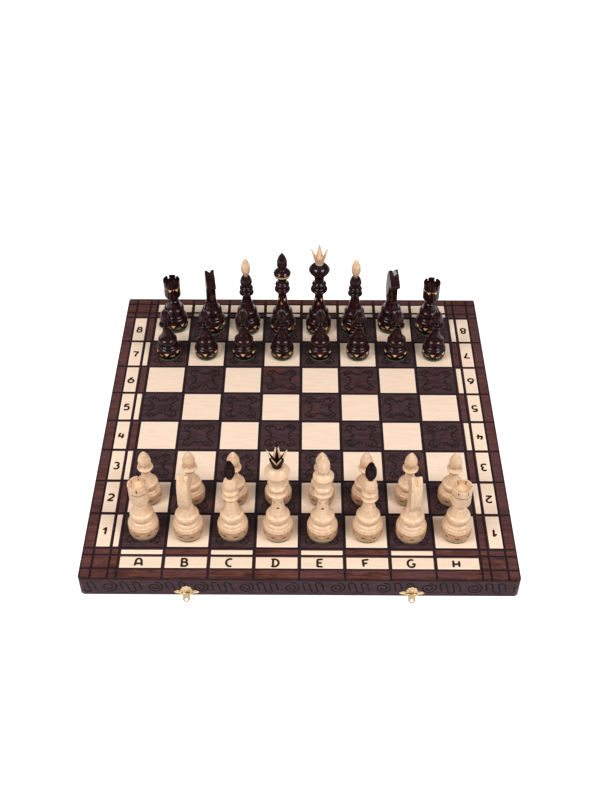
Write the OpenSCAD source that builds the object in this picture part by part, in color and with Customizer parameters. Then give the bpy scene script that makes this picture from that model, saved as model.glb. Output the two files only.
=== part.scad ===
// Folding wooden chess set: a case that opens into a board, with its 32 men standing on it.
// X runs along the ranks, Y runs from White to Black and Z is up. The origin is under the board's centre.

/* [Board] */
// Side of one square, from line to line
square_pitch = 44; // [36:1:50]
// Thickness of each half, from its rim to the playing surface
board_h = 25; // [20:1:32]
// Width of the band beside the squares that holds the short light strips
strip_band = 8.4; // [6.5:0.1:12]
// Width of the band that holds the coordinate cells
cell_band = 16.6; // [12:0.1:22]
// Width of the rails' top face, outside the last line
rail_top_w = 12; // [9:0.5:16]
// Width of the ledge inside the rails that carries the panel
ledge_w = 4; // [2.5:0.5:7]
// Thickness of the panel
panel_t = 6; // [4:0.5:9]
// Thickness of the felt lining under the panel
lining_t = 1; // [0.5:0.1:2]
// Width of the rail under the panel at the fold
fold_rail_w = 12; // [11.5:0.5:18]
// Radius of the rounded top edge
arris_r = 2.5; // [1:0.25:4]
// Radius of the board's upright corners
corner_r = 5; // [2:0.5:8]
// Gap between the two halves where they meet
fold_gap = 0.2; // [0.1:0.05:0.5]

/* [Lines and inlays] */
// Width of the milled lines
line_w = 1.8; // [0.8:0.1:2.6]
// Depth of the milled lines
line_d = 1; // [0.5:0.1:2]
// Thickness of the light inlays
inlay_t = 1; // [0.5:0.1:2]
// Dark margin from a line's centre to the light inlay beside it
dark_margin = 1.8; // [1.4:0.1:4]
// Dark margin between a border line and the inlay on its outer side
near_margin = 2.2; // [1.4:0.1:3]
// Dark margin between a border line and the inlay on its inner side
far_margin = 1; // [1:0.1:2]

/* [Hinges] */
// Distance between the two hinges' centres
hinge_spacing = 250; // [150:2:280]
// Length of a hinge
hinge_l = 32; // [20:1:50]
// Width of a hinge leaf, from the hinge's axis
hinge_leaf_w = 10.4; // [8:0.2:11]
// Thickness of the hinge leaves
hinge_leaf_t = 1; // [0.8:0.1:1.4]
// Outer radius of the hinge knuckles
hinge_r = 1.6; // [1.4:0.1:2.4]
// Radius of the hinge pins
hinge_pin_r = 0.7; // [0.5:0.05:0.9]

/* [Latches] */
// Distance between the two latches' centres
latch_spacing = 218; // [150:2:300]
// Thickness of the latch plates and the catch plates
plate_t = 0.6; // [0.4:0.1:1]
// Height of the latch's hinge axis above the rim
latch_axis_h = 3.4; // [2.8:0.1:4]
// Outer radius of the latch's barrel
latch_r = 1; // [0.85:0.05:1.3]
// Radius of the latch's pin
latch_pin_r = 0.45; // [0.3:0.05:0.5]
// Width of the hasp
hasp_w = 7.2; // [5:0.2:9]
// Reach of the hasp from its axis
hasp_reach = 8.2; // [7.8:0.1:9]
// Thickness of the hasp
hasp_t = 0.8; // [0.5:0.1:0.9]
// Radius of the hasp's round window
window_r = 1.55; // [1.3:0.05:1.7]
// Distance of the window from the hasp's axis
window_at = 5.6; // [5.4:0.1:5.8]
// Angle of the hasp below level, as it leans on the table
hasp_rest = 33; // [0:1:34]

/* [Chessmen] */
// Widest diameter of a large man's base
base_d = 30; // [26:0.2:36]
// Widest diameter of a pawn's base
pawn_base_d = 27.2; // [22:0.2:32]
// Thickness of the felt pads
felt_t = 1.6; // [0.5:0.1:2]
// Inset of the felt pad from the widest part of the base
felt_inset = 1.4; // [1:0.1:4]
// Width of the hollow between the base and the bulb
cove_d = 20.6; // [16:0.2:22]
// Widest diameter of the bulb above a large man's base
bulb_d = 23.6; // [21:0.2:26]
// Widest diameter of the bulb above a pawn's base
pawn_bulb_d = 21.6; // [19:0.1:24]
// Diameter of the stem above a large man's bulb
stem_d = 9; // [7.6:0.1:10]
// Diameter of a king's dome
dome_d = 24; // [19:0.2:26]
// Diameter of a king's crown across its petals
crown_d = 20.6; // [15:0.2:21]
// Height of a king's crown
crown_h = 19.5; // [16:0.5:24]
// Number of petals on a king's crown
petals = 5; // [4:1:7]
// Depth of the cuts between the petals
petal_cut_d = 12; // [6:0.5:13]
// Diameter of a queen's dish
dish_d = 20; // [16:0.2:22]
// Diameter of a bishop's acorn
acorn_d = 14; // [11:0.2:16]
// Diameter of a rook's head
rook_head_d = 19.4; // [16:0.2:24]
// Height of a rook's head
rook_head_h = 20.4; // [16:0.2:28]
// Number of a rook's battlement notches
notches = 6; // [4:1:8]
// Width of a rook's battlement notches
notch_w = 2.2; // [1:0.1:3]
// Depth of a rook's battlement notches
notch_d = 5; // [2:0.5:6]
// Thickness of a knight's head
knight_t = 10.8; // [7:0.1:11]
// Diameter of a pawn's collar
collar_d = 15.8; // [13:0.1:19]
// Diameter of a pawn's head
pawn_head_d = 12.8; // [10:0.1:16]

/* [Hidden] */
$fn = 48;
squares = 8;
files = ["a", "b", "c", "d", "e", "f", "g", "h"];
row_kinds = ["rook", "knight", "bishop", "king", "queen", "bishop", "knight", "rook"];
black_row_kinds = ["rook", "knight", "bishop", "queen", "king", "bishop", "knight", "rook"];
// Turn of each officer about its own axis, file a to file h, as they stand
white_row_turn = [0, -9, 0, 0, 0, 0, 8, 30];
black_row_turn = [30, 192, 0, 0, 0, 0, 195, 30];
// How far each officer stands off the centre of its square, right and away, file a to file h
white_row_shift = [[-0.3, 0], [0, -1.5], [0, -0.5], [0.9, -1.5], [0.5, -2], [1, -1.5], [0, -2.5], [1, -1.5]];
black_row_shift = [[3.5, 6], [4.5, 4], [2.2, 3], [0, 1], [-1.5, 1], [-3.5, 2], [-4, 6], [-3, 3]];

// Clearances
slip = 0.05; // between a piece let into wood and its pocket
pin_slip = 0.05; // between a pin and its bore, on the radius
swing_slip = 0.15; // round a turning knuckle, on the radius
side_slip = 0.1; // between the knuckles of a hinge, along its axis
notch_slip = 0.3; // between the knuckles and the wood round them
stand_gap = 0.03; // between a man's felt and its square
glue_gap = 0.02; // between a man's felt and its wood
eps = 0.01;

// Heights and outlines of the board
hinge_axis_z = hinge_r;
rim_z = hinge_axis_z + fold_gap / 2;
top_z = rim_z + board_h;
ledge_z = top_z - panel_t;
field = squares / 2 * square_pitch;
border_line = field + strip_band;
joint_line = border_line + cell_band;
half_side = joint_line + rail_top_w;
inner_side = joint_line - ledge_w;
line_places = [for (i = [0 : squares / 2]) i * square_pitch, border_line, joint_line];
fold_face = fold_gap / 2;

// Nails
nail_r = 0.6;
nail_l = 8;
nail_head_r = 1.1;
nail_head_t = 0.5;
hinge_nail_step = 10;
hinge_nail_y = 6.4;
plate_nail_x = 7.6;
plate_nail_z = 5;
catch_nail_x = 5;
catch_nail_z = 4.2;

// Knuckles of a hinge, by turns on the front and the back leaf
knuckles = 5;
knuckle_l = hinge_l / knuckles;

// Latch, measured across its plate and up from the rim
latch_axis_y = half_side + latch_r + 0.2;
barrel_end_w = 2.4;
barrel_l = hasp_w + 2 * barrel_end_w;
flower_z = 8.6;
flower_core_r = 4.2;
flower_petals = 8;
flower_petal_r = 1.9;
flower_reach = 3.7;
boss_r = 1.6;
boss_h = 1;
wing_outline = [
    [12.5, 5], [10.2, 7], [7.6, 7.5], [5.4, 6.7], [3.4, 8.2], [-3.4, 8.2], [-5.4, 6.7], [-7.6, 7.5],
    [-10.2, 7], [-12.5, 5], [-10.2, 3], [-7.6, 2.5], [7.6, 2.5], [10.2, 3]
];

// Catch, measured across its plate and up from the rim
stud_z = window_at - latch_axis_h - fold_gap;
stud_r = window_r - 0.35;
stud_h = 1.9;
stud_dome_h = 0.6;
catch_end_r = 3.2;
catch_end_x = 4.4;
catch_z = 3.5;

// Spigots of the pieces let into kings and bishops
spigot_r = 1.8;
spigot_l = 6;

// Profiles. Each row is the radius reached, the rise to it and how far the stretch bows out.
foot_r = base_d / 2 - felt_inset;
officer_base = [
    [base_d / 2 - 0.1, 4, 0.5],
    [base_d / 2, 9.2, 0.1],
    [base_d / 2 - 0.6, 0.7, 0.15],
    [base_d / 2 - 2, 3, 0.5],
    [cove_d / 2 + 0.4, 3.3, 0.7],
    [cove_d / 2, 0.8, -0.3],
    [bulb_d / 2 - 0.8, 1.2, 0.3],
    [bulb_d / 2, 3.4, 0.3],
    [bulb_d / 2 - 2.4, 4.2, 0.8],
    [stem_d / 2 + 2.1, 9.3, -0.5]
];
king_top = [
    [stem_d / 2 + 0.7, 9, -0.25],
    [stem_d / 2 + 0.3, 5.3, -0.1],
    [7.5, 3.8, -0.6],
    [9.8, 2.4, 0.3],
    [8.6, 2, 0.5],
    [5.7, 1.6, -0.5],
    [6.3, 2, -0.3],
    [8.3, 2.4, 0.3],
    [6.9, 2, 0.4],
    [5.4, 3.5, -0.6],
    [5.7, 2.5, -0.1],
    [dome_d / 2 - 2.8, 7.2, -0.7],
    [dome_d / 2, 4.8, 0.3],
    [dome_d / 2 - 0.3, 1.6, 0.3],
    [4.6, 6.2, 1],
    [0, 0, 0]
];
queen_top = [
    [stem_d / 2 + 0.7, 9.3, -0.25],
    [stem_d / 2 + 0.3, 5.2, -0.1],
    [7.2, 3.8, -0.6],
    [9, 2.3, 0.3],
    [7.9, 2, 0.5],
    [5.6, 1.5, -0.5],
    [6.3, 1.6, -0.3],
    [8.2, 2.2, 0.3],
    [6.8, 2, 0.4],
    [5, 3.7, -0.7],
    [5.5, 2.3, -0.2],
    [dish_d / 2 - 0.8, 4.2, -0.8],
    [dish_d / 2, 3.4, 0.2],
    [dish_d / 2 - 0.8, 1.8, 0.3],
    [4.7, 3.4, 0.5],
    [3.7, 1.4, -0.2],
    [5.9, 7.6, 1],
    [5, 6.2, 0.4],
    [2.3, 5.4, 0.2],
    [0, 4, -0.2]
];
bishop_top = [
    [stem_d / 2 + 0.4, 7.3, -0.2],
    [5.6, 3.4, -0.3],
    [8.5, 3, -0.4],
    [7.6, 1.6, 0.4],
    [5.6, 1.6, -0.5],
    [6, 1.6, -0.2],
    [7.9, 2, 0.3],
    [6.7, 1.6, 0.4],
    [4.6, 2, -0.4],
    [acorn_d / 2, 5.4, 0.6],
    [acorn_d / 2 - 0.5, 3, 0.2],
    [3.3, 6.4, 0.5],
    [0, 0, 0]
];
rook_cup_r = rook_head_d / 2 - 2.4;
rook_cup_d = 6;
rook_top = [
    [stem_d / 2 + 0.9, 1.6, -0.2],
    [stem_d / 2 + 0.6, 1.6, -0.1],
    [rook_head_d / 2 - 0.1, 4.8, 0.5],
    [rook_head_d / 2, rook_head_h, 0],
    [rook_head_d / 2 + 0.2, 1, 0.1],
    [rook_cup_r, 0, 0],
    [rook_cup_r - 0.3, 1 - rook_cup_d, 0],
    [0, -1, 0.2]
];
knight_top = [
    [stem_d / 2 + 1.6, 1.5, -0.1],
    [0, 0, 0]
];
pawn_foot_r = pawn_base_d / 2 - felt_inset + 0.2;
pawn_profile = [
    [pawn_base_d / 2 - 0.2, 3.8, 0.5],
    [pawn_base_d / 2, 6.6, 0.1],
    [pawn_base_d / 2 - 0.6, 0.7, 0.15],
    [pawn_base_d / 2 - 1.9, 2.2, 0.5],
    [pawn_bulb_d / 2 - 1.3, 2.6, 0.6],
    [pawn_bulb_d / 2 - 1.6, 0.8, -0.3],
    [pawn_bulb_d / 2 - 0.9, 1, 0.3],
    [pawn_bulb_d / 2, 3.2, 0.3],
    [pawn_bulb_d / 2 - 1.9, 3.8, 0.7],
    [6, 5.2, -0.2],
    [4.3, 7, -0.3],
    [collar_d / 2 - 2.6, 3.4, -0.3],
    [collar_d / 2, 3.4, -0.5],
    [collar_d / 2 - 0.9, 1.6, 0.4],
    [3.8, 1.4, -0.3],
    [pawn_head_d / 2, 6.6, 0.8],
    [pawn_head_d / 2 - 1.4, 5.4, 0.3],
    [0, 7.4, 0.6]
];
crown_foot_r = 3.9;
crown_waist_h = 1.8;
crown_wall = 1.5;
crown_profile = [
    [4.6, crown_waist_h, 0.3],
    [crown_d / 2, crown_h - crown_waist_h, 0],
    [crown_d / 2 - crown_wall, 0, 0],
    [3, -petal_cut_d - 1, 0],
    [0, -0.8, 0.1]
];
finial_foot_r = 2.8;
finial_profile = [
    [3.4, 1.6, -0.2],
    [5.4, 9.2, 0.9],
    [3.6, 7, 0.5],
    [0, 6, 0.7]
];
wood_z = felt_t + glue_gap;
officer_base_z = wood_z + rise_of(officer_base);
// Half the width of a cut between petals, where it leaves each petal a narrow tip
petal_gap = crown_d / 2 * sin(180 / petals) - 0.6;
king_body_h = officer_base_z + rise_of(king_top);
bishop_body_h = officer_base_z + rise_of(bishop_top);
rook_rim_z = officer_base_z + rise_of(rook_top) + rook_cup_d;
knight_head_z = officer_base_z - 1;

// Side view of a knight's head, forward and up from the top of the stem
knight_outline = [
    [-3.8, 0], [-6.2, 2.4], [-8.2, 6], [-9.2, 12], [-9.2, 20], [-8.6, 28], [-7.4, 36.4], [-4.6, 42],
    [-0.8, 45.6], [0.6, 43.4], [2.6, 41.4], [5.6, 37.4], [8.6, 33], [10.6, 29.6], [11, 27.4],
    [10.6, 25.4], [8.8, 24.4], [6.2, 25.6], [4.3, 23.4], [3.6, 18], [3.6, 10], [4.4, 3.5], [4.4, 0]
];
// The notch between the ears: where its floor meets the mane, its slope and its size
ear_notch_at = [-7.4, 36.4];
ear_notch_tilt = 38;
ear_notch_w = 6;
ear_notch_d = 3.4;
ear_notch_l = 20;

WHITE = "burlywood";
BLACK = "#4a2526";
STAIN = "#5a2b22";
BIRCH = "wheat";
BRASS = "goldenrod";
FELT = "darkgreen";

// Every man as its name, kind, file, rank, side, turn and shift, White's two rows and then Black's
MEN = concat(
    [for (i = [0 : squares - 1])
        man_row("white", row_kinds[i], i, 0, white_row_turn[i], white_row_shift[i])],
    [for (i = [0 : squares - 1]) man_row("white", "pawn", i, 1)],
    [for (i = [0 : squares - 1])
        man_row("black", black_row_kinds[i], i, 7, black_row_turn[i], black_row_shift[i])],
    [for (i = [0 : squares - 1]) man_row("black", "pawn", i, 6)]
);
// The men with a contrasting piece let in on top
CROWNED = [for (m = MEN) if (m[1] == "king" || m[1] == "bishop") m];
BOARD_NODES = [
    "front_panel", "front_outer_rail", "front_side_rails", "front_fold_rail", "front_light_inlay",
    "front_lining", "back_panel", "back_outer_rail", "back_side_rails", "back_fold_rail",
    "back_light_inlay", "back_lining", "front_hinge_leaves", "back_hinge_leaves", "hinge_pins",
    "latch_plates", "latch_pins", "left_hasp", "right_hasp", "catch_plates", "front_nails", "back_nails"
];

function man_row(side, kind, file, rank, turn = 0, shift = [0, 0]) = [
    str(side, "_", kind, "_", files[file], rank + 1),
    kind,
    file,
    rank,
    side,
    turn,
    shift
];
function top_name(m) = str(m[0], m[1] == "king" ? "_crown" : "_finial");
function rise_of(rows, i = 0) = i == len(rows) ? 0 : rows[i][1] + rise_of(rows, i + 1);
function bowed(a, b, bow, n) = [
    for (i = [1 : n]) let (t = i / n, d = b - a) a + d * t + [d[1], -d[0]] / norm(d) * bow * 4 * t * (1 - t)
];
function turned(from, rows, i = 0) = i == len(rows) ? [] : let (to = [rows[i][0], from[1] + rows[i][1]])
    concat(bowed(from, to, rows[i][2], rows[i][2] == 0 ? 1 : 5), turned(to, rows, i + 1));
function square_x(file) = (file - squares / 2 + 0.5) * square_pitch;

// Shared shapes

// A solid of revolution that stands at height z, with a flat foot
module turning(foot, rows, z = 0) {
    rotate_extrude() polygon(concat([[0, z], [foot, z]], turned([foot, z], rows)));
}

// Turns what is made for the front half into the back half
module as_back() {
    rotate([0, 0, 180]) children();
}

// A nail that points along +Z, with the underside of its head at the origin
module nail() {
    translate([0, 0, -nail_head_t]) cylinder(r = nail_head_r, h = nail_head_t);
    translate([0, 0, -eps]) cylinder(r = nail_r, h = nail_l + eps);
}

// The pilot hole of a nail, from the wood's face inwards
module nail_hole() {
    translate([0, 0, -eps]) cylinder(r = nail_r + slip, h = nail_l + slip + eps);
}

module at_hinges() {
    for (side = [-1, 1]) translate([side * hinge_spacing / 2, 0, 0]) children();
}

module at_hinge_nails() {
    at_hinges() for (i = [-1 : 1]) translate([i * hinge_nail_step, -hinge_nail_y, rim_z]) children();
}

module at_latches() {
    for (side = [-1, 1]) translate([side * latch_spacing / 2, -half_side, rim_z]) children();
}

// The places of the nails through the latch plates, pointing into the wood
module at_plate_nails(x, z) {
    at_latches() for (side = [-1, 1]) translate([side * x, 0, z]) rotate([-90, 0, 0]) children();
}

// Board, made as the front half

// The milled lines, which run right across the board both ways
module milled_lines() {
    reach = half_side + 1;
    for (place = line_places, side = [-1, 1]) translate([0, 0, top_z - line_d]) {
        translate([side * place - line_w / 2, -reach, 0]) cube([line_w, 2 * reach, line_d + 1]);
        translate([-reach, side * place - line_w / 2, 0]) cube([2 * reach, line_w, line_d + 1]);
    }
}

// The corner of a block that rounding takes away, along X, with its edge on the X axis
module arris_waste(length) {
    translate([-length / 2, 0, 0]) rotate([90, 0, 90]) difference() {
        translate([-1, -arris_r, 0]) cube([arris_r + 1, arris_r + 1, length]);
        translate([arris_r, -arris_r, -1]) cylinder(r = arris_r, h = length + 2);
    }
}

module corner_waste() {
    translate([-half_side, -half_side, rim_z - 1]) difference() {
        translate([-1, -1, 0]) cube([corner_r + 1, corner_r + 1, board_h + 2]);
        translate([corner_r, corner_r, -1]) cylinder(r = corner_r, h = board_h + 4);
    }
}

// The rail in front, mitred at both ends, with the ledge for the panel
module outer_rail() {
    difference() {
        union() {
            translate([0, 0, rim_z]) linear_extrude(board_h - panel_t)
                polygon([[-half_side, -half_side], [half_side, -half_side],
                         [inner_side, -inner_side], [-inner_side, -inner_side]]);
            translate([0, 0, ledge_z - eps]) linear_extrude(panel_t + eps)
                polygon([[-half_side, -half_side], [half_side, -half_side],
                         [joint_line, -joint_line], [-joint_line, -joint_line]]);
        }
        translate([0, -half_side, top_z]) arris_waste(2 * half_side + 2);
        for (side = [0, 1]) mirror([side, 0, 0]) corner_waste();
        milled_lines();
    }
}

// The rail on the left, mitred at its outer end
module side_rail() {
    difference() {
        union() {
            translate([0, 0, rim_z]) linear_extrude(board_h - panel_t)
                polygon([[-half_side, -half_side], [-inner_side, -inner_side],
                         [-inner_side, -fold_face], [-half_side, -fold_face]]);
            translate([0, 0, ledge_z - eps]) linear_extrude(panel_t + eps)
                polygon([[-half_side, -half_side], [-joint_line, -joint_line],
                         [-joint_line, -fold_face], [-half_side, -fold_face]]);
        }
        translate([-half_side, 0, top_z]) rotate([0, 0, -90]) arris_waste(2 * half_side + 2);
        corner_waste();
        milled_lines();
    }
}

module side_rails() {
    for (side = [0, 1]) mirror([side, 0, 0]) side_rail();
}

module hinge_leaf_space() {
    at_hinges() {
        translate([-hinge_l / 2 - slip, -hinge_leaf_w - slip, rim_z - 1])
            cube([hinge_l + 2 * slip, hinge_leaf_w + 1, hinge_leaf_t + 1]);
        translate([-hinge_l / 2 - notch_slip, 0, hinge_axis_z])
            rotate([0, 90, 0]) cylinder(r = hinge_r + notch_slip, h = hinge_l + 2 * notch_slip);
    }
}

module fold_rail() {
    difference() {
        translate([-inner_side + slip, -fold_rail_w, rim_z])
            cube([2 * (inner_side - slip), fold_rail_w - fold_face, board_h - panel_t]);
        hinge_leaf_space();
        at_hinge_nails() translate([0, 0, nail_head_t]) nail_hole();
    }
}

// Calls its child at each light square, and at each light cell and strip of the border
module at_inlays() {
    light = square_pitch - 2 * dark_margin;
    cell = [border_line + near_margin, joint_line - far_margin];
    strip = [field + near_margin, border_line - far_margin];
    for (file = [0 : squares - 1], rank = [0 : squares / 2 - 1]) {
        if ((file + rank) % 2 == 1)
            inlay_at(square_x(file), square_x(rank), light, light) children();
    }
    for (file = [0 : squares - 1]) {
        inlay_at(square_x(file), -middle(cell), light, span(cell)) children();
        if (file % 2 == 0) inlay_at(square_x(file), -middle(strip), light, span(strip)) children();
    }
    for (rank = [0 : squares / 2 - 1], side = [-1, 1]) {
        inlay_at(side * middle(cell), square_x(rank), span(cell), light) children();
        if ((rank % 2 == 0) == (side < 0))
            inlay_at(side * middle(strip), square_x(rank), span(strip), light) children();
    }
}

function middle(pair) = (pair[0] + pair[1]) / 2;
function span(pair) = pair[1] - pair[0];

// A unit block stretched to one inlay's size, with its top on the playing surface
module inlay_at(x, y, w, l) {
    $inlay_w = w;
    $inlay_l = l;
    translate([x, y, top_z - inlay_t]) children();
}

module inlay_block(gap, over) {
    translate([-$inlay_w / 2 + gap, -$inlay_l / 2 + gap, 0])
        cube([$inlay_w - 2 * gap, $inlay_l - 2 * gap, inlay_t + over]);
}

module light_inlay() {
    at_inlays() inlay_block(slip, 0);
}

module panel() {
    difference() {
        translate([-joint_line + slip, -joint_line + slip, ledge_z])
            cube([2 * (joint_line - slip), joint_line - slip - fold_face, panel_t]);
        milled_lines();
        at_inlays() inlay_block(0, 1);
    }
}

module lining() {
    translate([-inner_side + slip, -inner_side + slip, ledge_z - lining_t])
        cube([2 * (inner_side - slip), inner_side - fold_rail_w - 2 * slip, lining_t]);
}

// Hinges

// One leaf of each hinge. Odd knuckles, counted from 0, belong to the back leaf.
module hinge_leaves(first) {
    at_hinges() difference() {
        union() {
            translate([-hinge_l / 2, -hinge_leaf_w, rim_z]) cube([hinge_l, hinge_leaf_w, hinge_leaf_t]);
            for (i = [first : 2 : knuckles - 1]) knuckle(i, hinge_r, -side_slip / 2);
        }
        for (i = [1 - first : 2 : knuckles - 1]) knuckle(i, hinge_r + swing_slip, side_slip / 2);
        translate([-hinge_l / 2 - 1, 0, hinge_axis_z])
            rotate([0, 90, 0]) cylinder(r = hinge_pin_r + pin_slip, h = hinge_l + 2);
        for (i = [-1 : 1]) translate([i * hinge_nail_step, -hinge_nail_y, rim_z]) leaf_hole();
    }
}

module knuckle(i, r, grow) {
    translate([-hinge_l / 2 + i * knuckle_l - grow, 0, hinge_axis_z])
        rotate([0, 90, 0]) cylinder(r = r, h = knuckle_l + 2 * grow);
}

module leaf_hole() {
    translate([0, 0, -1]) cylinder(r = nail_r + slip, h = hinge_leaf_t + 2);
    translate([0, 0, -1]) cylinder(r = nail_head_r + slip, h = nail_head_t + 1);
}

module hinge_pins() {
    at_hinges() translate([-hinge_l / 2, 0, hinge_axis_z])
        rotate([0, 90, 0]) cylinder(r = hinge_pin_r, h = hinge_l);
}

// Latches

module at_latch_axis() {
    translate([0, half_side - latch_axis_y, latch_axis_h]) rotate([0, 90, 0]) children();
}

module latch_plate() {
    difference() {
        union() {
            rotate([90, 0, 0]) linear_extrude(plate_t) {
                polygon(wing_outline);
                translate([0, flower_z]) circle(r = flower_core_r);
                for (i = [0 : flower_petals - 1])
                    translate([0, flower_z]) rotate(i * 360 / flower_petals) translate([flower_reach, 0])
                        circle(r = flower_petal_r);
            }
            translate([0, -plate_t, flower_z]) rotate([90, 0, 0])
                turning(boss_r, [[0, boss_h, 0.5]], -eps);
            for (side = [-1, 1]) at_latch_axis()
                translate([0, 0, side * (hasp_w + barrel_l) / 4 - barrel_end_l() / 2])
                    cylinder(r = latch_r, h = barrel_end_l());
        }
        at_latch_axis() translate([0, 0, -hasp_w / 2 - side_slip])
            cylinder(r = latch_r + swing_slip, h = hasp_w + 2 * side_slip);
        translate([-hasp_w / 2 - side_slip, -plate_t - 1, 0])
            cube([hasp_w + 2 * side_slip, plate_t + 2, latch_axis_h + latch_r + swing_slip]);
        at_latch_axis() translate([0, 0, -barrel_l]) cylinder(r = latch_pin_r + pin_slip, h = 2 * barrel_l);
        for (side = [-1, 1]) translate([side * plate_nail_x, 1, plate_nail_z])
            rotate([90, 0, 0]) cylinder(r = nail_r + slip, h = plate_t + 2);
    }
}

function barrel_end_l() = barrel_end_w - side_slip;

module latch_plates() {
    at_latches() latch_plate();
}

module latch_pins() {
    at_latches() at_latch_axis() translate([0, 0, -barrel_l / 2]) cylinder(r = latch_pin_r, h = barrel_l);
}

// The hasp, hinged on the latch's axis and leaning forward
module hasp(side) {
    translate([side * latch_spacing / 2, -latch_axis_y, rim_z + latch_axis_h])
    rotate([hasp_rest, 0, 0]) difference() {
        union() {
            translate([-hasp_w / 2, 0, 0]) rotate([0, 90, 0]) cylinder(r = latch_r, h = hasp_w);
            translate([0, 0, -hasp_t / 2]) linear_extrude(hasp_t) {
                translate([-hasp_w / 2, hasp_w / 2 - hasp_reach]) square([hasp_w, hasp_reach - hasp_w / 2]);
                translate([0, hasp_w / 2 - hasp_reach]) circle(r = hasp_w / 2);
            }
        }
        translate([-hasp_w, 0, 0]) rotate([0, 90, 0]) cylinder(r = latch_pin_r + pin_slip, h = 2 * hasp_w);
        translate([0, -window_at, -hasp_t]) cylinder(r = window_r, h = 2 * hasp_t);
    }
}

module catch_plates() {
    at_latches() {
        difference() {
            rotate([90, 0, 0]) linear_extrude(plate_t) {
                translate([-catch_end_x, catch_z - catch_end_r]) square([2 * catch_end_x, 2 * catch_end_r]);
                for (side = [-1, 1]) translate([side * catch_end_x, catch_z]) circle(r = catch_end_r);
            }
            for (side = [-1, 1]) translate([side * catch_nail_x, 1, catch_nail_z])
                rotate([90, 0, 0]) cylinder(r = nail_r + slip, h = plate_t + 2);
        }
        translate([0, -plate_t + eps, stud_z]) rotate([90, 0, 0])
            turning(stud_r, [[stud_r, stud_h - stud_dome_h, 0], [0, stud_dome_h, 0.3]]);
    }
}

module front_nails() {
    at_plate_nails(plate_nail_x, plate_nail_z) translate([0, 0, -plate_t]) nail();
    at_hinge_nails() translate([0, 0, nail_head_t]) nail();
}

module back_nails() {
    at_plate_nails(catch_nail_x, catch_nail_z) translate([0, 0, -plate_t]) nail();
    at_hinge_nails() translate([0, 0, nail_head_t]) nail();
}

// Chessmen, each standing on the origin

module felt_pad(base_width) {
    color(FELT) cylinder(r = base_width / 2 - felt_inset, h = felt_t);
}

module officer(top) {
    turning(foot_r, concat(officer_base, top), wood_z);
}

module spigot_hole(z) {
    translate([0, 0, z - spigot_l - slip]) cylinder(r = spigot_r + slip, h = spigot_l + 1);
}

module king() {
    difference() {
        officer(king_top);
        spigot_hole(king_body_h);
    }
}

module bishop() {
    difference() {
        officer(bishop_top);
        spigot_hole(bishop_body_h);
    }
}

module rook() {
    difference() {
        officer(rook_top);
        for (i = [0 : notches - 1]) rotate((i + 0.5) * 360 / notches)
            translate([rook_cup_r - 1, -notch_w / 2, rook_rim_z - notch_d])
            cube([rook_head_d / 2, notch_w, notch_d + 1]);
    }
}

module knight() {
    officer(knight_top);
    translate([0, 0, knight_head_z]) difference() {
        rotate([90, 0, 90]) translate([0, 0, -knight_t / 2])
            linear_extrude(knight_t) polygon(knight_outline);
        translate([0, ear_notch_at[0], ear_notch_at[1]]) rotate([ear_notch_tilt - 90, 0, 0])
            translate([0, 0, -ear_notch_l / 2]) linear_extrude(2 * ear_notch_l) ear_notch();
    }
}

// Cross-section of the notch between a knight's ears, with its floor at the origin
module ear_notch() {
    half_w = ear_notch_w / 2;
    polygon([[0, 0], [-half_w, -ear_notch_d], [-half_w, -ear_notch_l], [half_w, -ear_notch_l],
             [half_w, -ear_notch_d]]);
}

// The petal crown let into a king's dome
module king_crown() {
    difference() {
        union() {
            turning(crown_foot_r, crown_profile, king_body_h + slip);
            translate([0, 0, king_body_h - spigot_l]) cylinder(r = spigot_r, h = spigot_l + 1);
        }
        translate([0, 0, king_body_h + crown_h + slip]) for (i = [0 : petals - 1])
            rotate([90, 0, i * 360 / petals]) linear_extrude(crown_d)
                polygon([[0, -petal_cut_d], [-petal_gap, 0.1], [petal_gap, 0.1]]);
    }
}

// The egg let into a bishop's acorn
module bishop_finial() {
    turning(finial_foot_r, finial_profile, bishop_body_h + slip);
    translate([0, 0, bishop_body_h - spigot_l]) cylinder(r = spigot_r, h = spigot_l + 1);
}

module at_square(m) {
    translate([square_x(m[2]) + m[6][0], square_x(m[3]) + m[6][1], top_z + stand_gap])
        rotate(m[5]) children();
}

module man(m) {
    at_square(m) {
        felt_pad(m[1] == "pawn" ? pawn_base_d : base_d);
        color(m[4] == "white" ? WHITE : BLACK) {
            if (m[1] == "king") king();
            if (m[1] == "queen") officer(queen_top);
            if (m[1] == "bishop") bishop();
            if (m[1] == "knight") knight();
            if (m[1] == "rook") rook();
            if (m[1] == "pawn") turning(pawn_foot_r, pawn_profile, wood_z);
        }
    }
}

module man_top(m) {
    color(m[4] == "white" ? BLACK : WHITE) at_square(m) {
        if (m[1] == "king") king_crown();
        if (m[1] == "bishop") bishop_finial();
    }
}

// Outer rails with their own nail holes

module front_outer_rail() {
    color(STAIN) difference() {
        outer_rail();
        at_plate_nails(plate_nail_x, plate_nail_z) nail_hole();
    }
}

module back_outer_rail() {
    color(STAIN) as_back() difference() {
        outer_rail();
        at_plate_nails(catch_nail_x, catch_nail_z) nail_hole();
    }
}

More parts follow.
